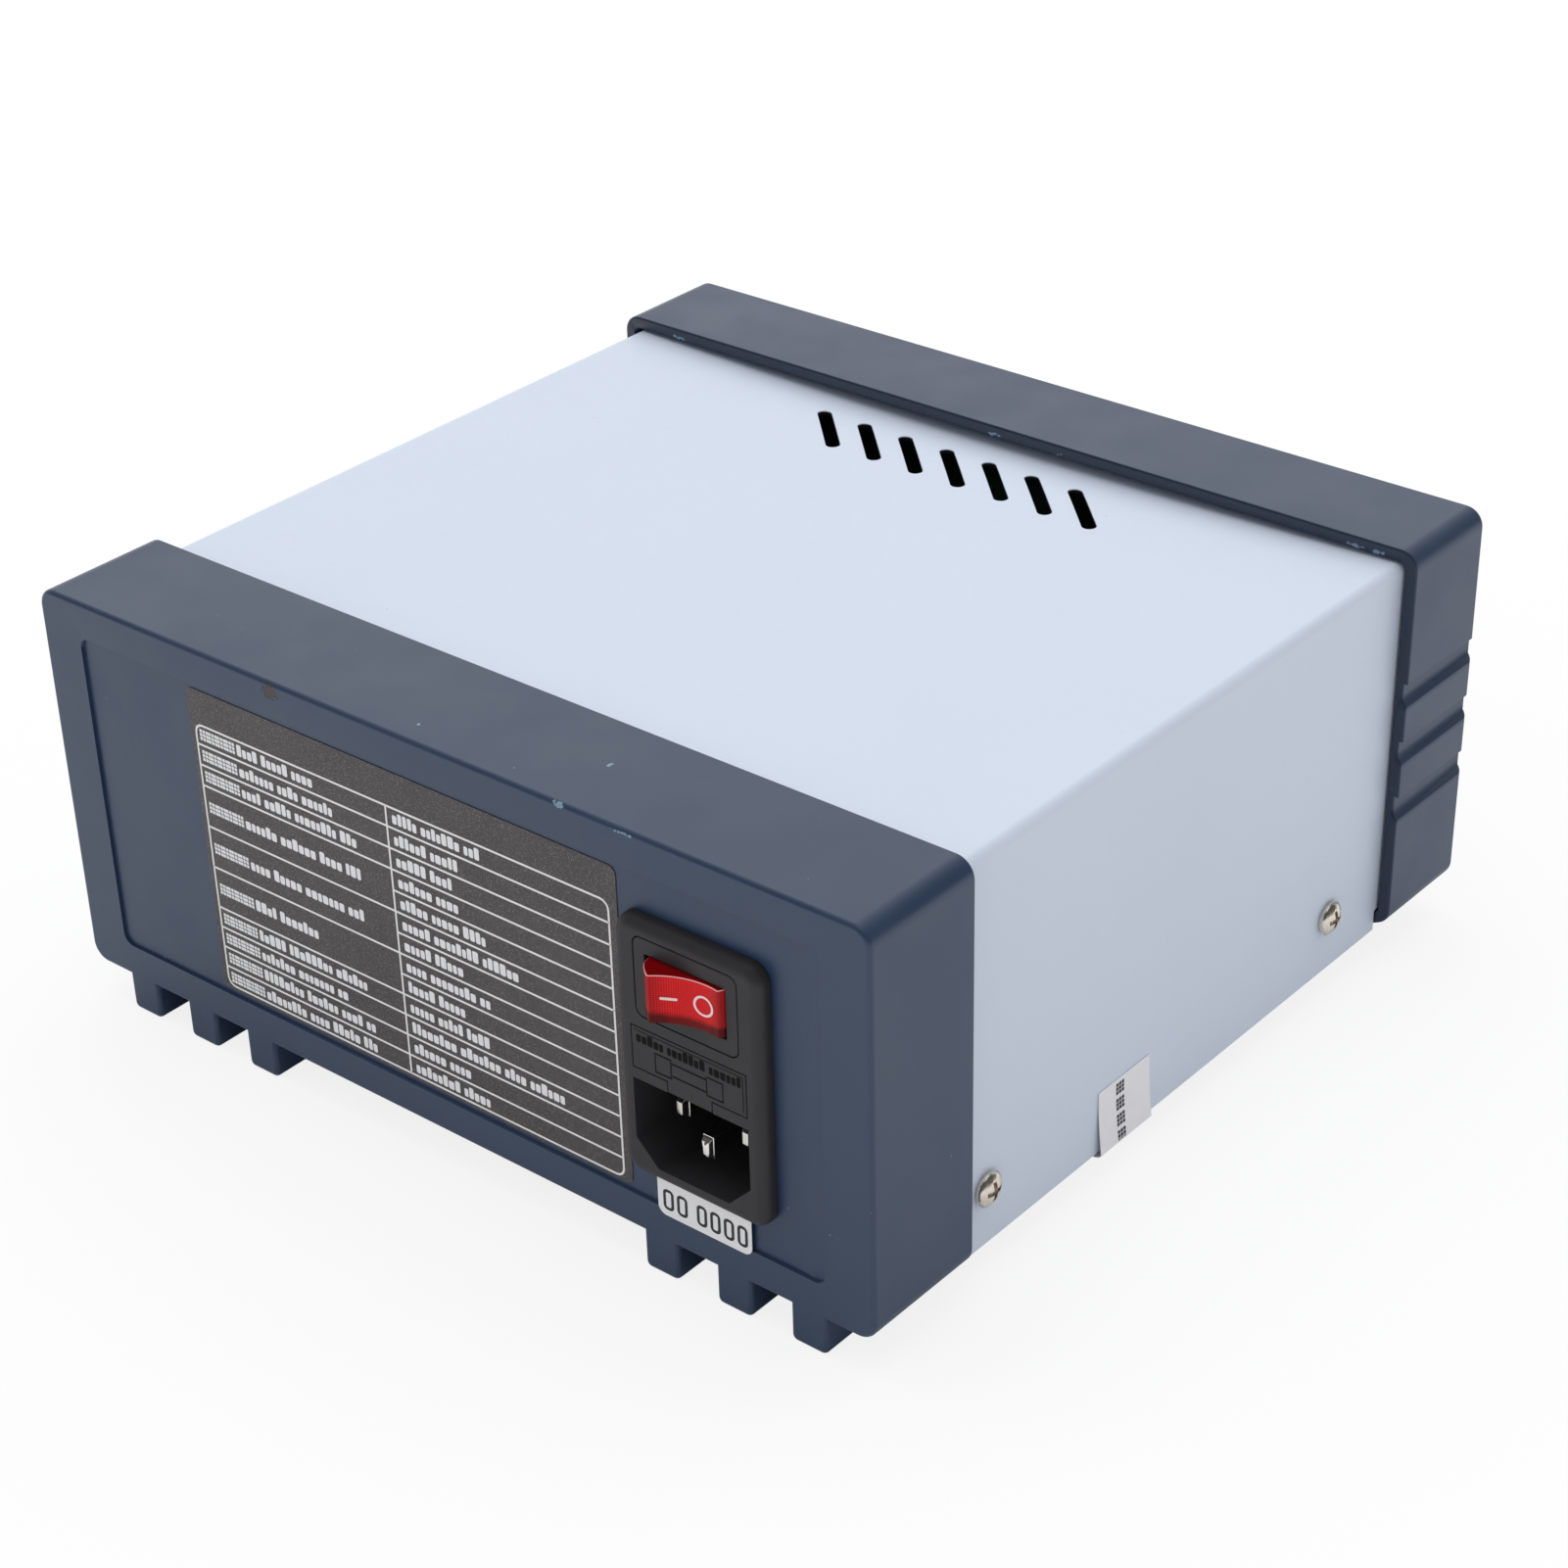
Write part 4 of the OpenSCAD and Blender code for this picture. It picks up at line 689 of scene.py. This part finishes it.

# %% [markdown]
# ## Rocker
# The rocker is clear red plastic with a fine cross hatch moulded inside its face, which
# breaks up the lamp. Light sinks in, and its colour carries painted light: painted shade
# along the face's lower edge and towards both ends, darker painted flanks, and a pale
# painted highlight along the ridge of the top edge.

# %% Rocker
red = rgb(196, 16, 24)
paint = paints["rocker_plastic"] = Paint("rocker_plastic", red, 0.3, IOR=1.2)
switch_y, rocker_half, rocker_tilt = 14.8, 4.5, 16     # above the inlet's middle, half its height
plate_t, pivot_in = 3.1, 3.55                          # the inlet's plate, and the pivot behind its face
pivot_x, pivot_up = inlet_x, foot_h + inlet_y + switch_y
x, z = paint.axis("x"), paint.axis("z")
weave = paint.node("ShaderNodeMath", {"operation": "SINE"}, {0: (x + z) * 9.0}) * \
    paint.node("ShaderNodeMath", {"operation": "SINE"}, {0: (x - z) * 9.0})
hatch = paint.ramp(weave, -0.3, 0.3)
tone = paint.mix(hatch * 0.8, red, rgb(244, 52, 54))
up, across = z - pivot_up, x + pivot_x
# Painted shade: darker along the face's lower edge and towards both ends.
painted_shade = paint.ramp(up + paint.noise(1.5) * 0.8, -1.6, -3.0) * 0.9 + paint.ramp(across, 1.0, 6.0) * 0.65 + \
    paint.ramp(across, -5, -7.5) * 0.45
tone = paint.mix(painted_shade, tone, rgb(92, 16, 18))
# Painted shade: the flanks above and below the face are darker.
flank_shade = paint.ramp(abs(up), rocker_half - 0.05, rocker_half - 0.02)
tone = paint.mix(flank_shade, tone, rgb(126, 6, 10))
# Painted highlight: a pale line along the ridge of the top edge.
ridge_highlight = paint.ramp(up, rocker_half - 0.22, rocker_half - 0.16) * (1 - flank_shade)
paint.put("Base Color", paint.mix(ridge_highlight * 0.8, tone, rgb(255, 190, 190)))
paint.put("Roughness", paint.ramp(paint.noise(2), 0.3, 0.7, 0.14, 0.26))
paint.bump(hatch, 0.004)
soften("rocker", 0.25, 3)
pivot = REAR @ Vector((inlet_x, inlet_y + switch_y, plate_t - pivot_in))
face = Matrix.Translation(pivot) @ Matrix.Rotation(math.radians(rocker_tilt), 4, "Z") @ \
    Matrix.Translation(-pivot) @ REAR
marks = Print()
marks.bar(inlet_x - 2.95, inlet_y + 15.05, 2.8, 0.5, 0, 0.2)
marks.ring(inlet_x + 3.05, inlet_y + 15.1, 1.9, 0.42)
ink_pink = grained("ink_pink", rgb(255, 222, 226), 0.4, 0.2, 0.002)
marks.on("rocker_marks", face, "rocker", ink_pink, 0.03, cuts=1)

# %% [markdown]
# ## Screws, jacks and keys
# Turned and pressed pieces only need their edges broken. The heads of the cover screws are
# a tenth wider than the solid's, each about its own middle. Their undersides and shanks
# stay as they are.

# %% Small pieces
bm = merged("cover_screws")
low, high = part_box("cover_screws")
head_r, head_reach, wider = (high.z - low.z) / 2, 2.1, 1.1
middle_z = low.z + head_r
for vert in bm.verts:
    if abs(vert.co.x) > high.x - head_reach * MM:
        middle_y = high.y - head_r if vert.co.y > 0 else low.y + head_r
        vert.co.y = middle_y + (vert.co.y - middle_y) * wider
        vert.co.z = middle_z + (vert.co.z - middle_z) * wider
rounded(bm, sharp_edges(bm, 60), 0.08)
finish_piece("cover_screws_skin", bm, paints["screw_steel"], "case",
             ["cover_screws"])
for node, width in (("bezel_screws", 0.1), ("front_overlay", 0.05), ("display_window", 0.15)):
    soften(node, width)
for k in range(1, 7):
    soften("key_%d" % k, 0.4, 3)
for k in range(1, 5):
    soften("jack_shell_%d" % k, 0.15)
    soften("jack_insulator_%d" % k, 0.1)
soften("bottom_tray", 0.12)

# %% [markdown]
# ## Front panel
# A smoked film with white rules carries the keys, and a black mask hides the rim of the
# display. The display is off, so its digits show only as faint bars in the glass. Signs on
# the keys are plain shapes, and strokes count the four jacks.

# %% Front panel print
screen_x, screen_y = -40, 39
first_jack, jack_step = 10, 22
rules = Print()
rules.frame(screen_x, screen_y, 82.4, 48.4, 0.35, 2)
rules.bar(43, 38.4, 78, 0.3)
for k in range(4):
    for stroke in range(k + 1):
        rules.bar(first_jack + k * jack_step + (stroke - k / 2) * 1.3, 33.2, 0.5, 2.4)
rules.on("panel_rules", FRONT, "front_overlay", ink_white)
mask = Print()
mask.frame(screen_x, screen_y, 77.9, 43.9, 4.8, 0.8)
mask.on("display_mask", FRONT, "display_window", ink_black, 0.02)
digits = Print()
for k in range(5):
    x = screen_x + (k - 2) * 12
    for row in (-1, 0, 1):
        digits.bar(x, screen_y + row * 8, 5.6, 1.5, 0, 0.6)
    for side in (-1, 1):
        for row in (-1, 1):
            digits.bar(x + side * 3.6, screen_y + row * 4, 1.5, 6.4, 0, 0.6)
    digits.bar(x + 6, screen_y - 8, 1.4, 1.4, 0, 0.4)
lcd_bar = grained("lcd_bar", rgb(108, 124, 109), 0.15, 0.3, 0.001)
digits.on("display_digits", FRONT, "display_glass", lcd_bar, 0.02)

# %% [markdown]
# A sign is laid on each key, and rides on that key when it is pressed.

# %% Key signs
for k in range(1, 7):
    low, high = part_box("key_%d" % k)
    x, y = (low.x + high.x) / 2 / MM, (low.z + high.z) / 2 / MM - foot_h
    sign = Print()
    if k in (1, 4):
        sign.pointer(x, y, 1.9, 0 if k == 1 else 180)
    elif k in (2, 5):
        sign.ring(x, y, 1.8, 0.5)
    else:
        sign.bar(x, y, 4.4, 0.7, 0, 0.2)
    if k == 5:
        sign.bar(x, y + 1.4, 0.6, 1.6)
    if k == 6:
        sign.bar(x, y, 0.7, 4.4, 0, 0.2)
    sign.on("key_sign_%d" % k, FRONT, "key_%d" % k, ink_white)

# %% [markdown]
# ## Everything that stays as it was drawn
# Boards, leads and the pieces on them are behind the covers. They keep their solids and
# take the finish of their slot.

# %% Carried-over solids
for name, node in nodes.items():
    node.data.materials.clear()
    node.data.materials.append(paints[slot_of[name]].material)
print(len(paints), "finishes")

# %% [markdown]
# ## Studio
# The meter stands on white board under a broad overhead lamp, in front of a white wall. The
# room behind the camera is dim, so that edges that face it keep their own colour. Black
# cards stand at the sides, which only a reflection shows: they draw the dark line along
# each rounded edge. So reflections get a steeper step of brightness than the soft light.

# %% World
world = bpy.data.worlds.new("studio")
world.use_nodes = True
scene.world = world
tree = world.node_tree


def sky(value, low, high, start, end):
    """A smooth step of the room's brightness."""
    node = tree.nodes.new("ShaderNodeMapRange")
    node.interpolation_type = "SMOOTHSTEP"
    tree.links.new(value.socket, node.inputs["Value"])
    for name, number in (("From Min", low), ("From Max", high), ("To Min", start), ("To Max", end)):
        node.inputs[name].default_value = number
    return Wire(tree, node.outputs[0])


where = tree.nodes.new("ShaderNodeTexCoord")
split = tree.nodes.new("ShaderNodeSeparateXYZ")
tree.links.new(where.outputs["Generated"], split.inputs[0])
toward_x, toward_y = Wire(tree, split.outputs["X"]), Wire(tree, split.outputs["Y"])
path = tree.nodes.new("ShaderNodeLightPath")
shine, eye, through = (Wire(tree, path.outputs[kind])
                       for kind in ("Is Glossy Ray", "Is Camera Ray", "Is Transmission Ray"))
shine, eye = shine * (1 - through), eye + through       # glass shows the white wall behind it
soft = sky(toward_x * 0.76 - toward_y * 0.65, -0.6, 0.6, 0.5, 1.22)
mirror = sky(toward_x * 0.707 - toward_y * 0.707, 0.12, 1.0, 0.08, 1.2)
strength = soft * (1 - shine - eye) + mirror * shine + eye
tree.links.new(strength.socket, tree.nodes["Background"].inputs["Strength"])
tree.nodes["Background"].inputs["Color"].default_value = (1, 1, 1, 1)
print(len(tree.nodes), "nodes light the room")

# %% [markdown]
# One square soft box, 1.2 m wide, hangs 1.6 m above the board. So large a lamp leaves only
# soft shadows, and its energy is worked out from how bright its face should be.

# %% Lamp
def lamp(name, place, size, radiance, aim):
    """A square soft box that sends out that much light per area towards aim."""
    light = bpy.data.lights.new(name, "AREA")
    light.shape, light.size = "SQUARE", size
    light.energy = radiance * size * size * math.pi
    box = bpy.data.objects.new(name, light)
    box.location = place
    box.rotation_euler = (Vector(aim) - Vector(place)).to_track_quat("-Z", "Y").to_euler()
    scene.collection.objects.link(box)
    print(name, round(light.energy, 1), "W")


lamp("overhead", (0, 0, 1.6), 1.2, 0.9, (0, 0, 0))

# %% [markdown]
# The board glows by itself: fully white to the camera away from the meter, less so near it,
# where the meter's shadow still has to show. What a polished face or the glass sees of it is
# the plain lit board close by, and white further out.

# %% Floor
board = Paint("white_board", (0.95, 0.95, 0.95, 1), 0.9, Specular_IOR_Level=0.0)
x, y = board.axis("x"), board.axis("y")
far = board.ramp((x * x + y * y) ** 0.5, 110, 300, 0.84, 1.0)
grain = board.noise(1.5, 3)
board.put("Base Color", board.mix(grain, (0.94, 0.94, 0.94, 1), (0.96, 0.96, 0.96, 1)))
board.bump(grain, 0.01)
path = board.tree.nodes.new("ShaderNodeLightPath")
seen = Wire(board.tree, path.outputs["Is Camera Ray"])
mirrored = Wire(board.tree, path.outputs["Is Glossy Ray"])
mirrored = mirrored.math("MAXIMUM", mirrored, Wire(board.tree, path.outputs["Is Transmission Ray"]))
near = board.ramp((x * x + y * y) ** 0.5, 150, 500, 0.0, 1.0)
lit = seen * far + mirrored * near
glow = board.node("ShaderNodeEmission", {}, {"Color": (1, 1, 1, 1), "Strength": 1.0})
matt = Wire(board.tree, board.shader.outputs[0])
both = board.node("ShaderNodeMixShader", {}, {0: lit, 1: matt, 2: glow})
board.tree.links.new(both.socket, board.tree.nodes["Material Output"].inputs["Surface"])
mesh = bpy.data.meshes.new("floor")
bm = bmesh.new()
bmesh.ops.create_grid(bm, x_segments=1, y_segments=1, size=8)
bm.to_mesh(mesh)
bm.free()
mesh.materials.append(board.material)
floor = bpy.data.objects.new("floor", mesh)
scene.collection.objects.link(floor)
scene.view_settings.view_transform = "Standard"
print("floor reaches", round(max(vert.co.x for vert in mesh.vertices), 1), "m each way")

# %% [markdown]
# ## Last cell
# It imports json once more.

# %% Last import
import json
